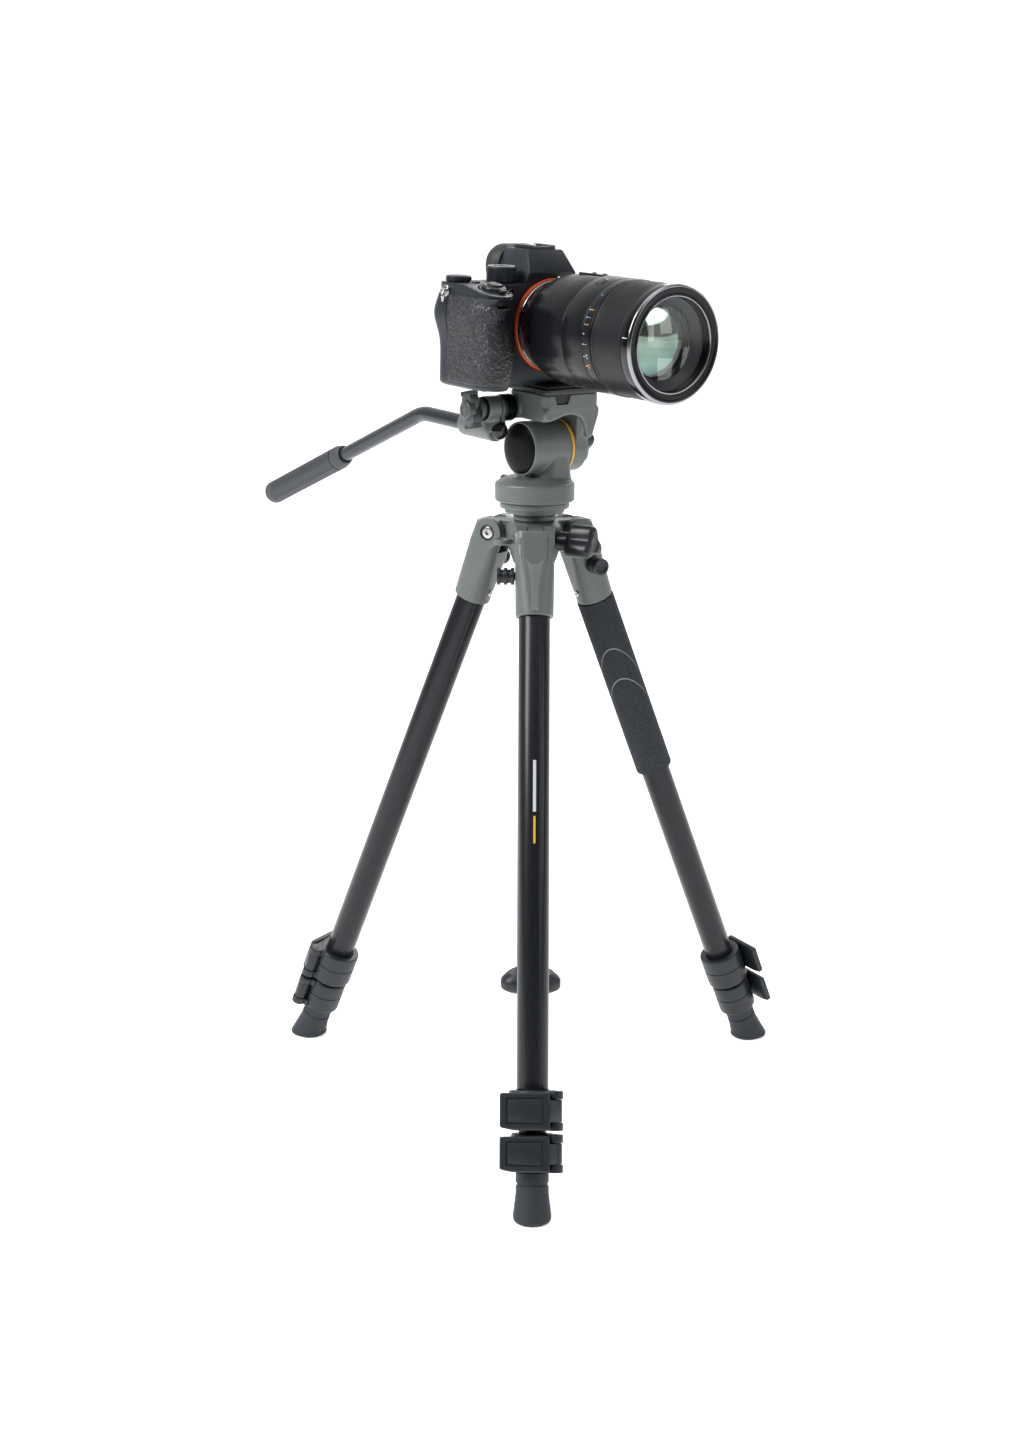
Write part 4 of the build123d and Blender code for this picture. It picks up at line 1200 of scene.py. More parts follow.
wingSeat = shifted(-head["clampAt"] - head["clampLong"] - 0.35, head["clampY"], head["clampZ"])
wingAt = tiltFrame @ wingSeat @ turned(-90, "Y") @ turned(wing["turn"], "Z")
placed("handle_wing", wingKnob(), wingAt, "handle_knob", "ribbed", "knob_plastic", "handle_knob")
print("head made")


# camera, in the camera frame: origin in the middle of the lens flange, -y forward, -x the grip side

case = {
    "left": 71.0, "right": 55.0, "front": 4.0, "back": 41.5, "below": 41.5, "deck": 29.0, "seam": 22.0,
    "nose": 20.0, "shutterX": -54.5, "shutterY": -3.0, "slope": 11.8, "dialX": -54.0, "dialY": -6.0,
    "eyeZ": 38.0, "humpTop": 51.3, "release": (-37.2, 0, -20),
}


def onCamera(name, bm, finish, slot, *nodes, body="camera", sharp=34):
    return placed(name, bm, cameraFrame, body, finish, slot, *nodes, sharp=sharp)


def onLens(name, bm, finish, slot="lens_metal", *nodes):
    return placed(name, bm, lensFrame, "camera", finish, slot, *nodes)


def atBack(bm, x, z, y=case["back"] - 0.2):             # stood on the rear face
    return moved(bm, shifted(x, y, z) @ turned(-90, "X"))


def atRelease(bm):                                      # set at the lens release, facing forward
    return moved(bm, shifted(*case["release"]) @ turned(90, "X"))


hillBase = 2.718


def hill(k, middle, spread):                            # smooth bump along the height
    return hillBase ** (-((k - middle) / spread) ** 2)


def casePlan(k, inset=0.0):                             # plan outline of the case at height k
    inner = -44.6 - 5.0 * hill(k, 7, 7.5) + 1.6 * hill(k, -14, 13)
    nose = -case["nose"] + 2.2 * hill(k, 5, 8) + 1.5 * hill(k, -42, 12) + 4.0 * hill(k, 17.5, 3.0)
    side = -case["left"] + inset
    bulge = 3.2 * hill(k, 8, 13)
    corners = [
        (-47.0, case["back"] - inset),
        (side - bulge, case["back"] - inset + 1.4 * bulge),
        (side - 0.3 * bulge, nose + 11 + inset),
        (side + 7, nose + inset),
        (inner - 6.5, nose + inset + 3.4 * hill(k, 3, 8)),
        (inner - inset, nose + 8.5 + inset),
        (inner + 2.4 - inset, case["front"] + inset),
        (case["right"] - inset, case["front"] + inset),
        (case["right"] - inset, case["back"] - inset),
    ]
    radii = [8, 9, 14, 7, 7, 6, 2.5, 6, 6]
    result = []
    for i, corner in enumerate(corners):
        trio = [corners[i - 1], corner, corners[(i + 1) % len(corners)]]
        result += softened(trio, radii[i], False, 6)[1:-1]
    return [(p.x, p.y) for p in result]


def dialCuts():                                         # slot for the front dial, open to the front
    slot = moved(rod(9.6, 14.6, 20.6), shifted(case["dialX"], case["dialY"]))
    mouth = block((case["dialX"] - 8.2, case["dialX"] + 8.2), (-26, case["dialY"] - 2), (14.6, 20.6), 0.8)
    return slot, mouth


def caseShell():
    low = -case["below"]
    rows = [(low, 2.6), (low + 0.5, 1.3), (low + 1.6, 0.35), (low + 3.0, 0.0)]
    rows += [(k, 0.0) for k in (-34, -28, -22, -16, -10, -5, 0, 4, 8, 12, 16, 19)]
    rows += [(21.4, 0.0), (22.0, 0.4)]
    shell = loft([lifted(casePlan(k, inset), k) for k, inset in rows])
    screen = block((-38.1, 42.1), (37.3, 45), (-33.4, 19.4))
    throat = moved(rod(31.0, -3.9, 8), turned(90, "X"))
    release = atRelease(rod(4.8, -8.0, 2))
    door = block((-80, -case["left"] + 0.2), (26.6, 27.3), (-37, 20.5))
    return carved(shell, *dialCuts(), screen, throat, release, door)


onCamera("case_shell", caseShell(), "body", "camera_body", "camera_shell", sharp=40)


def gripSkin():
    rings = []
    full = (-33, -28, -22, -16, -10, -5, 0, 3, 6, 9, 12, 14, 16, 18, 20)
    rows = [(-38.0, 0.1), (-37.5, 0.75), (-36.6, 1.0)] + [(k, 1.0) for k in full]
    rows += [(21.0, 0.8), (21.4, 0.1)]
    for k, proud in rows:
        line = [Vector((x, y)) for x, y in casePlan(k)]
        start = min(range(len(line)), key=lambda i: (line[i] - Vector((-case["left"], 8.0))).length)
        path = [Vector((line[start].x, 26.0))] + line[start:start + 24]
        normals = []
        for i in range(len(path)):
            step = path[min(i + 1, len(path) - 1)] - path[max(i - 1, 0)]
            normals.append(Vector((step.y, -step.x)).normalized())
        if normals[0].x > 0:
            normals = [-n for n in normals]
        outer = [p + n * proud for p, n in zip(path, normals)]
        inward = [p - n * 0.6 for p, n in zip(path, normals)]
        rings.append([(p.x, p.y, k) for p in outer + inward[::-1]])
    return carved(loft(rings), *dialCuts())


onCamera("grip_leather", gripSkin(), "leather", "leatherette", "grip_cover", sharp=50)


def topCover():
    plan = casePlan(30.0)
    low = case["seam"] + 0.2
    deck = slab(plan, low, case["deck"])
    lean = turned(case["slope"], "X")
    wedge = moved(block((-60, 9), (-60, 0), (0, 30)), shifted(-50, 10, case["deck"]) @ lean)
    deck = carved(deck, wedge)
    rims = []
    for edge in deck.edges:
        if edge.calc_face_angle(0) > radians(35) and min(v.co.z for v in edge.verts) > low + 0.1:
            rims.append(edge)
    rounded(deck, rims, 1.5, 3)
    dish = moved(spun([(0, -2.4), (9.8, -2.4), (11.6, -0.2), (12.4, 1.5), (0, 1.5)], 0.8, 64), shutterSeat)
    return carved(deck, dish)


shutterZ = case["deck"] - (10 - case["shutterY"]) * sin(radians(case["slope"])) / cos(radians(case["slope"]))
shutterSeat = shifted(case["shutterX"], case["shutterY"], shutterZ) @ turned(case["slope"], "X")
onCamera("deck_cover", topCover(), "body", "camera_body", "top_cover", sharp=40)


def finderHump():
    def section(half, front, back, z, corner):
        width = back - front
        return [(x, y + (front + back) / 2, z) for x, y in roundedBox(2 * half, width, corner, 3)]
    lower = [
        section(23.5, 4.6, 41.4, 27.5, 1.5), section(21.6, 3.4, 41.4, 32, 1.2),
        section(20.6, 2.6, 41.4, 36.2, 1.0),
    ]
    upper = [
        section(20.3, 2.9, 41.4, 36.9, 1.0), section(16.0, 11.6, 38.2, 50.4, 1.2),
        section(15.3, 12.4, 37.8, 51.2, 1.4), section(14.6, 13.2, 37.2, 51.4, 1.4),
    ]
    hump = loft(lower + upper)
    vent = block((-18.5, -17.5), (10, 16), (38.5, 39.6))
    return carved(hump, vent)


onCamera("finder_hump", finderHump(), "body", "camera_body", sharp=25)


def shoe():
    top = case["humpTop"]
    base = block((-10.5, 10.5), (15.5, 34.5), (top - 1, top + 0.9), 0.4)
    rails = [
        block((side * 9.6 - 1.6, side * 9.6 + 1.6), (15.5, 34), (top + 0.8, top + 2.9), 0.4)
        for side in (-1, 1)
    ]
    lips = [
        block((side * 7.9 - 1.8, side * 7.9 + 1.8), (15.5, 34), (top + 2.1, top + 2.9), 0.3)
        for side in (-1, 1)
    ]
    front = block((-10.5, 10.5), (14.2, 16.4), (top, top + 2.3), 0.4)
    return merged(base, front, *rails, *lips)


onCamera("accessory_shoe", shoe(), "plate", "camera_body")


def knurled(radius, low, high, count, depth, edge=0.6, top=0.0):    # dial with cut teeth round its side
    dial = spun(
        [
            (0, low), (radius - 0.3, low), (radius, low + 0.4), (radius, high - edge),
            (radius - edge, high), (0, high - top),
        ],
        0.3, count * 3, 2,
    )
    teeth = []
    for face in dial.faces:
        centre = face.calc_center_median()
        spread = sqrt(centre.x ** 2 + centre.y ** 2)
        index = int((atan2(centre.y, centre.x) + 2 * pi) / (2 * pi / (count * 3)) + 0.01)
        upright = spread > radius - 0.06 and abs(face.normal.z) < 0.1
        if upright and low + 0.5 < centre.z < high - edge and index % 3:
            teeth.append(face)
    grown = bmesh.ops.extrude_discrete_faces(dial, faces=teeth)["faces"]
    for face in grown:
        bmesh.ops.translate(dial, verts=face.verts, vec=face.normal * depth)
    return dial


def dot(x, y, z, width, depth, turn=0.0):               # small raised mark
    return moved(
        block((-width / 2, width / 2), (-depth / 2, depth / 2), (0, 0.12)),
        shifted(x, y, z) @ turned(turn, "Z"),
    )


# place, cut as knurled() takes it, finish and node
dials = {
    "mode_dial_knob": ((-34.0, 17.0), (10.2, 29.6, 40.4, 48, 0.3, 0.9), "body", "mode_dial"),
    "exposure_dial_knob": ((-60.3, 31.0), (8.7, 29.4, 33.4, 44, 0.28, 0.7), "body", "exposure_dial"),
    "front_dial_wheel": (
        (case["dialX"], case["dialY"]), (8.7, 15.4, 19.8, 30, 0.35, 0.5), "knob", "front_dial",
    ),
}
for name, (place, cut, finish, node) in dials.items():
    onCamera(name, moved(knurled(*cut), shifted(*place)), finish, "dial_metal", node, body=node)
modeAt = dials["mode_dial_knob"][0]
exposureAt = dials["exposure_dial_knob"][0]
rim = hoop([(8.9, 40.35), (9.3, 40.35), (9.3, 40.6), (8.9, 40.6)], 0.1, 96, 1)
marks = [
    dot(modeAt[0] + 7.2 * cos(i * pi / 5), modeAt[1] + 7.2 * sin(i * pi / 5), 40.35, 1.6, 0.9, 36 * i)
    for i in range(10)
]
onCamera(
    "mode_dial_marks", merged(moved(rim, shifted(*modeAt)), *marks), "white", "dial_metal",
    body="mode_dial",
)
scale = [
    dot(
        exposureAt[0] + 6.6 * cos(radians(90 + i * 17)), exposureAt[1] + 6.6 * sin(radians(90 + i * 17)),
        33.36, 1.5, 0.35, i * 17,
    )
    for i in range(-5, 6)
]
onCamera("exposure_dial_marks", merged(*scale), "white", "dial_metal", body="exposure_dial")
shutter = spun([(0, 4.2), (3.4, 4.35), (4.7, 4.1), (4.95, 3.2), (4.95, 1.0), (0, 1.0)], 0.5, 64)
placed("shutter_cap", shutter, buttonFrame, "shutter_button", "plate", "button_metal", "shutter_button")


def powerRing():
    ring = hoop([(5.35, 0.3), (8.3, 0.3), (8.6, 1.0), (8.2, 2.3), (7.2, 2.9), (5.5, 2.9)], 0.4, 72)
    tab = block((-2.3, 2.3), (-11.6, -7.2), (0.6, 2.8), 0.7)
    return merged(ring, tab)


placed("power_ring", powerRing(), buttonFrame, "power_lever", "plate", "dial_metal", "power_lever")
bezelRing = hoop([(8.8, -1.6), (9.8, -1.6), (10.4, 0.2), (9.6, 0.6), (8.9, 0.3)], 0.3, 72)
placed("power_bezel", bezelRing, buttonFrame, "camera", "body", "camera_body")
for i, (x, y) in enumerate(((-44.5, 12.5), (-55.5, 17.0))):
    cap = spun([(0, 30.4), (2.4, 30.4), (2.9, 29.8), (2.9, 28), (0, 28)], 0.3, 40)
    onCamera(f"deck_button_{i + 1}", moved(cap, shifted(x, y)), "plate", "camera_body")


def strapLug(side):
    x = side * (case["left"] if side < 0 else case["right"])
    base = moved(rod(4.2, -1, 2.2, 0.6, 40), shifted(x, 29, 23.5) @ turned(90 * side, "Y"))
    post = moved(rod(1.7, 0, 5.2, 0.5, 32), shifted(x, 29, 23.5) @ turned(90 * side, "Y"))
    ring = hoop([(3.6, -0.7), (5.0, -0.7), (5.0, 0.7), (3.6, 0.7)], 0.6, 56, 3)
    ring = moved(ring, shifted(x + side * 3.6, 29.4, 20.4) @ turned(62, "Z") @ turned(90, "X"))
    return merged(base, post, ring)


onCamera("strap_lug_grip", strapLug(-1), "steel", "camera_body")
onCamera("strap_lug_far", strapLug(1), "steel", "camera_body")
lampLens = moved(rod(2.6, -4.4, -1.0, 0.5, 40), shifted(-36.5, 0, 23.8) @ turned(90, "X"))
onCamera("focus_lamp", lampLens, "gloss", "camera_body")


def releaseFence():                                     # curved guard beside the lens release
    ring = hoop([(6.0, -4.5), (7.6, -4.5), (7.4, -1.6), (6.3, -1.4)], 0.4, 48)
    cut = block((-2.5, 20), (-20, 20), (-20, 20))
    return atRelease(carved(ring, cut))


onCamera("release_guard", releaseFence(), "body", "camera_body")
release = atRelease(spun([(0, -1.5), (3.4, -1.4), (4.4, -2.0), (4.4, -5.4), (0, -5.4)], 0.5, 48))
onCamera("release_button", release, "plate", "dial_metal", "lens_release", body="lens_release")


# mount and lens, z forward from the flange

lens = {
    "radius": 39.5, "threadR": 31.05, "threadDeep": 0.45, "threadFrom": 120.6, "pitch": 0.9, "threads": 8,
    "teeth": 220, "toothHeight": 0.13, "toothFrom": 94, "toothTo": 118, "scaleR": 39.3, "numberSize": 2.5,
    "numberAt": 85.6, "tickAt": 82.2,
}
# outline, softening, segments, finish, slot and node
lensRings = {
    "mount_flange": (
        [(23.6, -3.9), (32.0, -3.9), (32.6, -3.2), (32.5, -0.6), (31.4, 0.0), (23.6, 0.0)], 0.4, 144,
        "orange", "mount_orange", "mount_ring",
    ),
    "lens_bayonet_ring": (
        [(29.5, 0.1), (31.3, 0.1), (31.6, 0.7), (31.2, 1.8), (29.5, 1.8)], 0.3, 144, "silver",
    ),
    "lens_barrel_skin": (
        [
            (20.5, 8), (20.5, 1.4), (30.4, 1.4), (30.6, 2.6), (31.6, 5.5), (34.0, 11.5), (36.3, 18.0),
            (37.6, 25.0), (38.2, 33.0), (38.6, 45), (38.7, 58.4), (38.2, 58.9), (38.2, 59.4), (39.2, 59.9),
            (39.3, 80.6), (38.9, 81.0), (38.9, 81.4), (39.3, 81.8), (39.3, 89.4), (38.9, 89.8),
            (35.0, 89.8), (35.0, 112), (20.5, 112),
        ],
        0.5, 168, "lens", "lens_metal", "lens_barrel",
    ),
    "lens_front_band": (
        [(35.0, 121.5), (39.1, 121.5), (39.5, 122.0), (39.5, 128.5), (35.0, 128.5)], 0.3, 168, "gloss",
    ),
    "lens_filter_ring": (
        [
            (31.2, 120.5), (37.6, 120.5), (37.6, 130.4), (36.4, 130.5), (35.8, 129.6), (33.4, 129.2),
            (32.8, 129.9), (31.2, 129.0),
        ],
        0.3, 168, "lens",
    ),
    "lens_inner_ring": (
        [(31.0, 128.4), (31.05, 129.6), (31.5, 130.1), (32.2, 129.9), (32.3, 128.4)], 0.3, 144, "silver",
    ),
    "lens_bevel": (
        [(24.5, 117.6), (25.0, 118.2), (29.8, 122.8), (31.0, 123.2), (31.0, 108.5), (24.5, 108.5)], 0.3,
        144, "bezel",
    ),
    "lens_tunnel": (
        [(17.0, 60), (22.5, 103), (24.4, 109), (24.4, 117.0), (25.4, 117.0), (25.4, 60)], 0.2, 96, "dark",
    ),
}
for name, (outline, soft, segments, *looks) in lensRings.items():
    onLens(name, hoop(outline, soft, segments), *looks)
rimProfile = [(37.4, 128.0), (39.45, 128.55), (39.3, 129.2), (38.1, 130.4), (37.5, 130.5)]
onLens("lens_front_rim", hoop(rimProfile, 0.35, 168, 3), "silver")


def filterThread():
    outer, start, pitch = lens["threadR"], lens["threadFrom"], lens["pitch"]
    profile = [(outer, start)]
    for i in range(lens["threads"]):
        turn = start + 0.3 + pitch * i
        profile += [(outer, turn), (outer - lens["threadDeep"], turn + 0.4)]
    end = start + 7.4
    return lathe(profile + [(outer, end), (outer + 0.85, end), (outer + 0.85, start)], 144, True)


onLens("lens_thread", filterThread(), "lens")


def focusRibs():
    count = lens["teeth"]
    ring = hoop(
        [
            (35.4, 90.2), (38.9, 90.2), (39.2, 90.8), (39.2, 92.4), (38.7, 92.9), (38.7, 118.6),
            (39.2, 119.1), (39.2, 120.4), (38.8, 120.9), (35.4, 120.9),
        ],
        0.2, count * 2,
    )
    ribs = []
    for face in ring.faces:
        centre = face.calc_center_median()
        if lens["toothFrom"] < centre.z < lens["toothTo"] and sqrt(centre.x ** 2 + centre.y ** 2) > 38.4:
            if int((atan2(centre.y, centre.x) + 2 * pi) / (pi / count) + 0.01) % 2:
                ribs.append(face)
    grown = bmesh.ops.extrude_discrete_faces(ring, faces=ribs)["faces"]
    for face in grown:
        bmesh.ops.translate(ring, verts=face.verts, vec=face.normal * lens["toothHeight"])
    return ring


placed("focus_ring_grip", focusRibs(), lensFrame, "focus_ring", "rubber", "lens_rubber", "focus_ring")


def wrapped(text, size, radius, z, angle):              # number laid round the barrel
    curve = bpy.data.curves.new("number", "FONT")
    curve.body = text
    curve.size = size
    curve.align_x = "CENTER"
    curve.align_y = "CENTER"
    curve.extrude = 0.04
    holder = bpy.data.objects.new("number", curve)
    scene.collection.objects.link(holder)
    bpy.context.view_layer.update()
    mesh = bpy.data.meshes.new_from_object(holder.evaluated_get(bpy.context.evaluated_depsgraph_get()))
    bm = bmesh.new()
    bm.from_mesh(mesh)
    bpy.data.meshes.remove(mesh)
    bpy.data.objects.remove(holder)
    bpy.data.curves.remove(curve)
    for vert in bm.verts:
        turn = radians(angle) + vert.co.x / radius
        height = radius + 0.05 + vert.co.z
        vert.co = Vector((cos(turn) * height, sin(turn) * height, z + vert.co.y))
    return bm


def arcMark(radius, angle, width, z, length):           # painted line on the barrel
    points = []
    for share in (-0.5, 0.5):
        turn = radians(angle) + share * width / radius
        points.append((cos(turn), sin(turn)))
    (a, b), (c, d) = points
    inner, outer = radius - 0.1, radius + 0.06
    ring = [(a * inner, b * inner), (a * outer, b * outer), (c * outer, d * outer), (c * inner, d * inner)]
    return slab(ring, z, z + length)


scaleNumbers = (
    ("0.5", 206, "amber"), ("0.7", 196, "white"), ("1", 184, "white"), ("2", 165, "amber"),
    ("3", 158, "blue"), ("5", 150, "amber"), ("10", 132, "blue"),
)
for i, (text, angle, colour) in enumerate(scaleNumbers):
    onLens(
        f"scale_number_{i + 1}", wrapped(text, lens["numberSize"], lens["scaleR"], lens["numberAt"], angle),
        colour,
    )
ticks = [
    arcMark(lens["scaleR"], angle, 0.45, lens["tickAt"], 1.5)
    for angle in (150, 158, 165, 174, 184, 196, 206)
]
onLens("scale_ticks", merged(*ticks), "white")
onLens("index_mark", arcMark(lens["radius"], 172, 0.5, 123.0, 4.4), "white")
onLens(
    "mount_index_dot",
    moved(rod(1.0, 0, 0.4, 0.15, 32), turned(100, "Z") @ shifted(x=34.6, z=12.5) @ turned(68, "Y")),
    "white",
)


def switchPanel():
    panel = block((-13, 13), (-8, 8), (-2, 1.3), 0.9, 3)
    slots = [block(span, (-1.4, 1.4), (0.5, 3)) for span in ((-9, -1), (3, 9))]
    return carved(panel, *slots)


panelAt = lensFrame @ turned(84, "Z") @ shifted(x=37.7, z=44) @ turned(90, "Y")
placed("switch_panel", switchPanel(), panelAt, "camera", "lens", "lens_metal")
sliders = [block((-7.4, -4.6), (-1.2, 1.2), (0.4, 2.2), 0.4), block((4.2, 6.6), (-1.2, 1.2), (0.4, 2.2), 0.4)]
placed("switch_sliders", merged(*sliders), panelAt, "camera", "knob", "lens_metal")
holdAt = lensFrame @ turned(112, "Z") @ shifted(x=38.9, z=70) @ turned(90, "Y")
holdKey = spun([(0, 1.3), (3.4, 1.2), (4.4, 0.5), (4.6, -1.5), (0, -1.5)], 0.4, 48)
placed("hold_button", holdKey, holdAt, "camera", "plate", "lens_metal")


def element(radius, back, front, crown):
    rounds = 14
    profile = [(0, back), (radius, back)]
    for i in range(rounds + 1):
        r = radius * (1 - i / rounds)
        profile.append((r, front + crown * (1 - (r / radius) ** 2) - crown))
    return lathe(profile, 96)


glass = Finish("frontGlass", Roughness=0.02, IOR=1.52, Transmission_Weight=1.0, Coat_Weight=0.3)
glass.feed("Base Color", glass.blend(glass.noise(20.0), (0.90, 0.97, 0.94), (0.96, 0.98, 0.93)))
finishes["glass"] = glass
# real coating tint with a painted reflection: dark teal to pale green, paler towards the top and in soft
# patches
coatingReflection = Finish("coatedGlassReflection", Metallic=0.92, Specular_IOR_Level=0.8)
cloud = coatingReflection.noise(16.0, 1.0)
reflectionRise = coatingReflection.axis("Y") * 0.025 + 0.5                  # painted reflection: the tint is paler towards the top
coatingReflection.feed("Base Color", coatingReflection.blend(reflectionRise + (cloud - 0.5), (0.05, 0.16, 0.15), (0.62, 0.72, 0.62)))
coatingReflection.feed("Roughness", 0.04 + 0.04 * cloud)
finishes["coatingReflection"] = coatingReflection
onLens("front_element", element(24.4, 117.2, 122.8, 4.6), "glass", "optical_glass", "lens_glass")
onLens("second_element", element(23.9, 98.0, 116.9, 6.4), "coatingReflection", "optical_glass")


# back of the camera

def hinged():
    x0, x1, z0, z1 = -37.5, 41.5, -33.0, 19.0
    outline = [(x + 2.0, z - 7.0) for x, z in roundedBox(x1 - x0, z1 - z0, 3.0, 4)]
    panel = slab(outline, 0, 5.2, 0.8, 3)
    window = slab([(x + 2.0, z - 7.0) for x, z in roundedBox(71, 46, 1.5, 4)], 4.7, 6)
    return moved(carved(panel, window), shifted(y=37.85) @ swapped)


screenMesh = hinged()
bmesh.ops.recalc_face_normals(screenMesh, faces=screenMesh.faces)
onCamera("screen_frame", screenMesh, "body", "screen_panel", "rear_screen", body="rear_screen")
pane = block((-33.4, 37.4), (42.0, 42.85), (-29.9, 15.9), 0.3)
onCamera("screen_glass", pane, "screen", "screen_panel", body="rear_screen")


def eyeHood():
    middle = case["eyeZ"]

    def section(width, height, corner, y):
        return [(x, y, z + middle) for x, z in roundedBox(width, height, corner, 8)]
    rings = [
        section(40, 25, 10, 39.6), section(44, 29, 13, 42.6), section(46.0, 30.6, 14.5, 46.5),
        section(46.0, 30.4, 14.5, 50.4), section(43.0, 28.0, 13, 53.2), section(37.0, 24.0, 11, 53.8),
        section(31.5, 20.4, 9, 52.4), section(27.5, 17.4, 7.5, 48.0), section(27.2, 17.2, 7.2, 41.6),
    ]
    return loft(rings)


onCamera("eye_hood", eyeHood(), "cup", "eyecup_rubber", "eyecup")
eyeWindow = block((-11.5, 11.5), (41.0, 44.2), (case["eyeZ"] - 7, case["eyeZ"] + 7), 1.4, 3)
onCamera("eye_window", eyeWindow, "screen", "camera_body")
dioptre = moved(knurled(5.4, 0, 3.2, 24, 0.25, 0.5), shifted(21.5, 33.5, 40.5) @ turned(78, "Y"))
onCamera("dioptre_dial", dioptre, "body", "camera_body")


backKeys = (
    (-45.0, 17.5, 3.2), (-60.5, 16.5, 3.2), (-47.5, -26.5, 2.8), (-61.5, -27.5, 2.8), (28.5, 24.6, 2.6),
    (-62.5, 3.8, 2.8),
)


def backKey(x, z, r):
    return atBack(spun([(0, 1.4), (r - 0.5, 1.3), (r, 0.7), (r, -1.5), (0, -1.5)], 0.3, 40), x, z)


onCamera("back_keys", merged(*[backKey(*place) for place in backKeys]), "plate", "camera_body")
wheelAt = (-54.5, -10.5)
wheel = knurled(9.2, -0.5, 2.3, 40, 0.25, 0.6)
onCamera("back_wheel", atBack(wheel, *wheelAt), "body", "camera_body")
hub = spun([(0, 2.8), (3.6, 2.8), (4.2, 2.2), (4.2, 1.0), (0, 1.0)], 0.3, 40)
onCamera("back_wheel_key", atBack(hub, *wheelAt), "plate", "camera_body")
stick = spun(
    [(0, 3.4), (2.6, 3.4), (3.2, 2.6), (2.4, 1.4), (2.4, 0.5), (4.6, 0.1), (4.6, -1), (0, -1)], 0.3, 40,
)
onCamera("back_stick", atBack(stick, -52.5, 5.5), "knob", "camera_body")
thumb = slab(roundedBox(15, 16, 5), -1, 1.6, 1.4, 3)
onCamera("thumb_rest", atBack(thumb, -62.5, 10.0, case["back"]), "leather", "leatherette")
rearWheel = moved(knurled(8.2, 23.2, 26.0, 40, 0.3, 0.4), shifted(-52.0, 35.2))
onCamera("rear_dial", rearWheel, "knob", "camera_body")


# port covers on the far side and the battery door below
def sideDoors():
    doors = [
        block((case["right"] - 0.8, case["right"] + 0.5), (12, 36), (0.5, 19.5), 0.5),
        block((case["right"] - 0.8, case["right"] + 0.5), (12, 36), (-35, -0.5), 0.5),
    ]
    battery = block((-66, -48), (-10, 24), (-case["below"] - 0.35, -case["below"] + 0.5), 0.4)
    return merged(*doors, battery)


onCamera("port_covers", sideDoors(), "cup", "camera_body")
flank = slab(roundedBox(15.5, 46, 3), 0, 0.9, 0.5)
onCamera(
    "front_leather", moved(flank, shifted(44.8, case["front"] - 0.1, -13) @ turned(90, "X")), "leather",
    "leatherette",
)
inner = satin("innerParts", (0.04, 0.045, 0.04), 0.5, 0.6, 0.02, 0.2, kind=NodeFinish)
for node in ("sensor_unit", "battery"):
    "inner_electronics" if node == "sensor_unit" else "battery_case"
    frame["nodes"][node].data.materials.clear()
    frame["nodes"][node].data.materials.append(inner.material)
print("camera made")


# floor, light and camera

floorShape = {"line": [(-4.0, 0.0), (3.2, 0.0), (5.0, 0.4), (5.6, 2.0), (5.8, 5.0)], "soft": 2.0, "half": 7.0}
studioLight = {
    "floorGlow": 0.52, "behind": 0.9, "facing": 0.02, "above": 0.8, "depthSpan": (-0.1, 0.8),
    "heightSpan": (0.45, 0.95),
}


def backdrop():                                         # pale floor that curves up behind the object
    line = softened(floorShape["line"], floorShape["soft"], False, 8)
    bm = bmesh.new()
    near = [bm.verts.new((-floorShape["half"], point[0], point[1])) for point in line]
    edges = [bm.edges.new(pair) for pair in zip(near, near[1:])]
    grown = bmesh.ops.extrude_edge_only(bm, edges=edges)["geom"]
    far = [part for part in grown if isinstance(part, bmesh.types.BMVert)]
    bmesh.ops.translate(bm, verts=far, vec=(2 * floorShape["half"], 0, 0))
    bmesh.ops.recalc_face_normals(bm, faces=bm.faces)
    floor = shown(bm, "studio_floor")
    pale = Finish("studioFloor", Roughness=0.7)
    pale.feed("Base Color", pale.blend(pale.noise(0.4), (0.90, 0.90, 0.90), (0.93, 0.93, 0.93)))
    pale.feed("Emission Color", pale.blend(pale.noise(0.4), (0.97, 0.97, 0.97), (1.0, 1.0, 1.0)))
    pale.shader.inputs["Emission Strength"].default_value = studioLight["floorGlow"]
    floor.data.materials.append(pale.material)


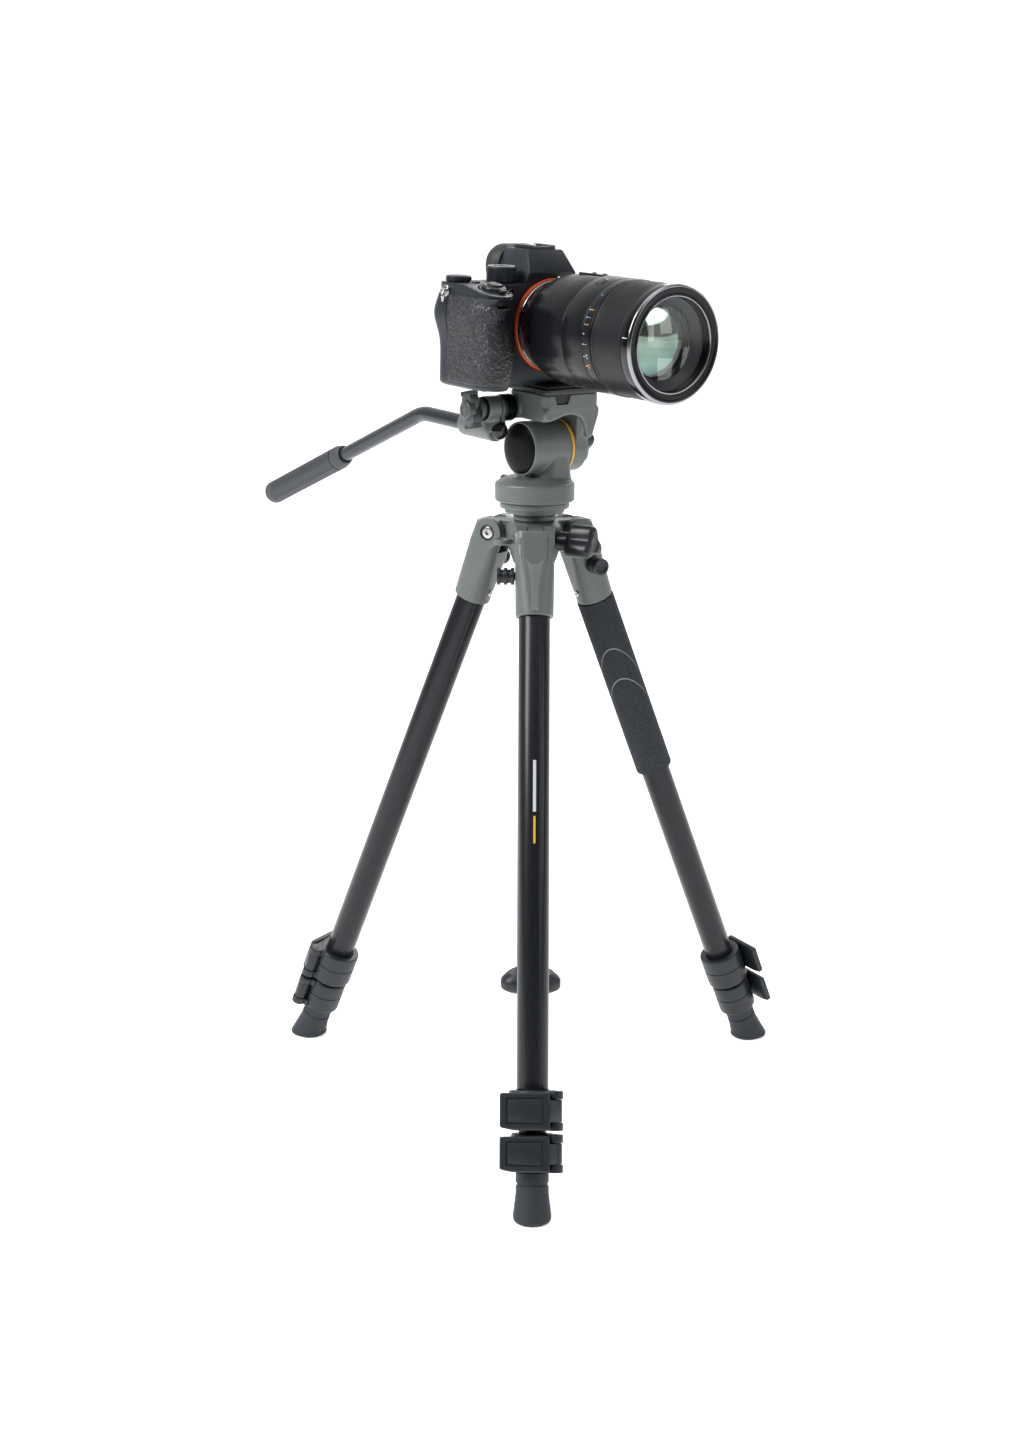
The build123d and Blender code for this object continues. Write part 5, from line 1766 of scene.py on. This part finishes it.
def sky():                                              # bright behind and above, dark on the viewer's side
    world = bpy.data.worlds.new("studio")
    scene.world = world
    world.use_nodes = True
    nodes = world.node_tree.nodes
    links = world.node_tree.links
    point = nodes.new("ShaderNodeTexCoord")
    parts = nodes.new("ShaderNodeSeparateXYZ")
    links.new(point.outputs["Generated"], parts.inputs[0])
    depth = nodes.new("ShaderNodeMapRange")
    links.new(parts.outputs["Y"], depth.inputs["Value"])
    height = nodes.new("ShaderNodeMapRange")
    links.new(parts.outputs["Z"], height.inputs["Value"])
    settings = (
        (depth, *studioLight["depthSpan"], studioLight["facing"], studioLight["behind"]),
        (height, *studioLight["heightSpan"], 0.0, studioLight["above"]),
    )
    for node, low, high, first, last in settings:
        node.interpolation_type = "SMOOTHSTEP"
        for socket, value in (("From Min", low), ("From Max", high), ("To Min", first), ("To Max", last)):
            node.inputs[socket].default_value = value
    total = nodes.new("ShaderNodeMath")
    total.operation = "MAXIMUM"
    links.new(depth.outputs["Result"], total.inputs[0])
    links.new(height.outputs["Result"], total.inputs[1])
    links.new(total.outputs[0], nodes["Background"].inputs["Strength"])
    nodes["Background"].inputs["Color"].default_value = (1.0, 1.0, 1.0, 1)


lamps = {                                               # place, aim, width, height, watts
    "key": ((-1.9, -0.9, 2.0), (0.0, 0.0, 0.5), 1.0, 1.6, 74.0),
    "fill": ((2.0, -1.5, 1.2), (0.0, 0.0, 0.4), 0.35, 1.8, 6.0),
    "window": ((2.6, -0.75, 1.15), (0.0, 0.0, 0.5), 0.8, 1.0, 7.0),
    "back": ((0.9, 2.0, 1.9), (0.0, 0.0, 0.45), 1.6, 0.8, 26.0),
    "floor": ((0.0, -0.4, 3.4), (0.0, 0.9, 0.0), 3.0, 2.4, 24.0),
}


def lamp(name, place, target, width, height, watts):
    light = bpy.data.lights.new(name, "AREA")
    light.shape = "RECTANGLE"
    light.size = width
    light.size_y = height
    light.energy = watts
    holder = bpy.data.objects.new(name, light)
    scene.collection.objects.link(holder)
    holder.location = place
    holder.rotation_euler = (Vector(target) - Vector(place)).to_track_quat("-Z", "Y").to_euler()


view = {
    "place": (-0.01694, -1.46903, 0.67571), "down": 14.514, "turn": -0.218, "roll": 0.383, "focal": 51.0,
    "sensor": 36.0,
}


def camera():
    optics = bpy.data.cameras.new("view")
    optics.lens = view["focal"]
    optics.sensor_width = view["sensor"]
    holder = bpy.data.objects.new("view", optics)
    scene.collection.objects.link(holder)
    look = turned(view["turn"], "Z") @ turned(90 - view["down"], "X") @ turned(view["roll"], "Z")
    holder.matrix_world = Matrix.Translation(view["place"]) @ look
    scene.camera = holder


backdrop()
sky()
for name, settings in lamps.items():
    lamp(name, *settings)
camera()
scene.view_settings.view_transform = "Standard"
print("studio made")
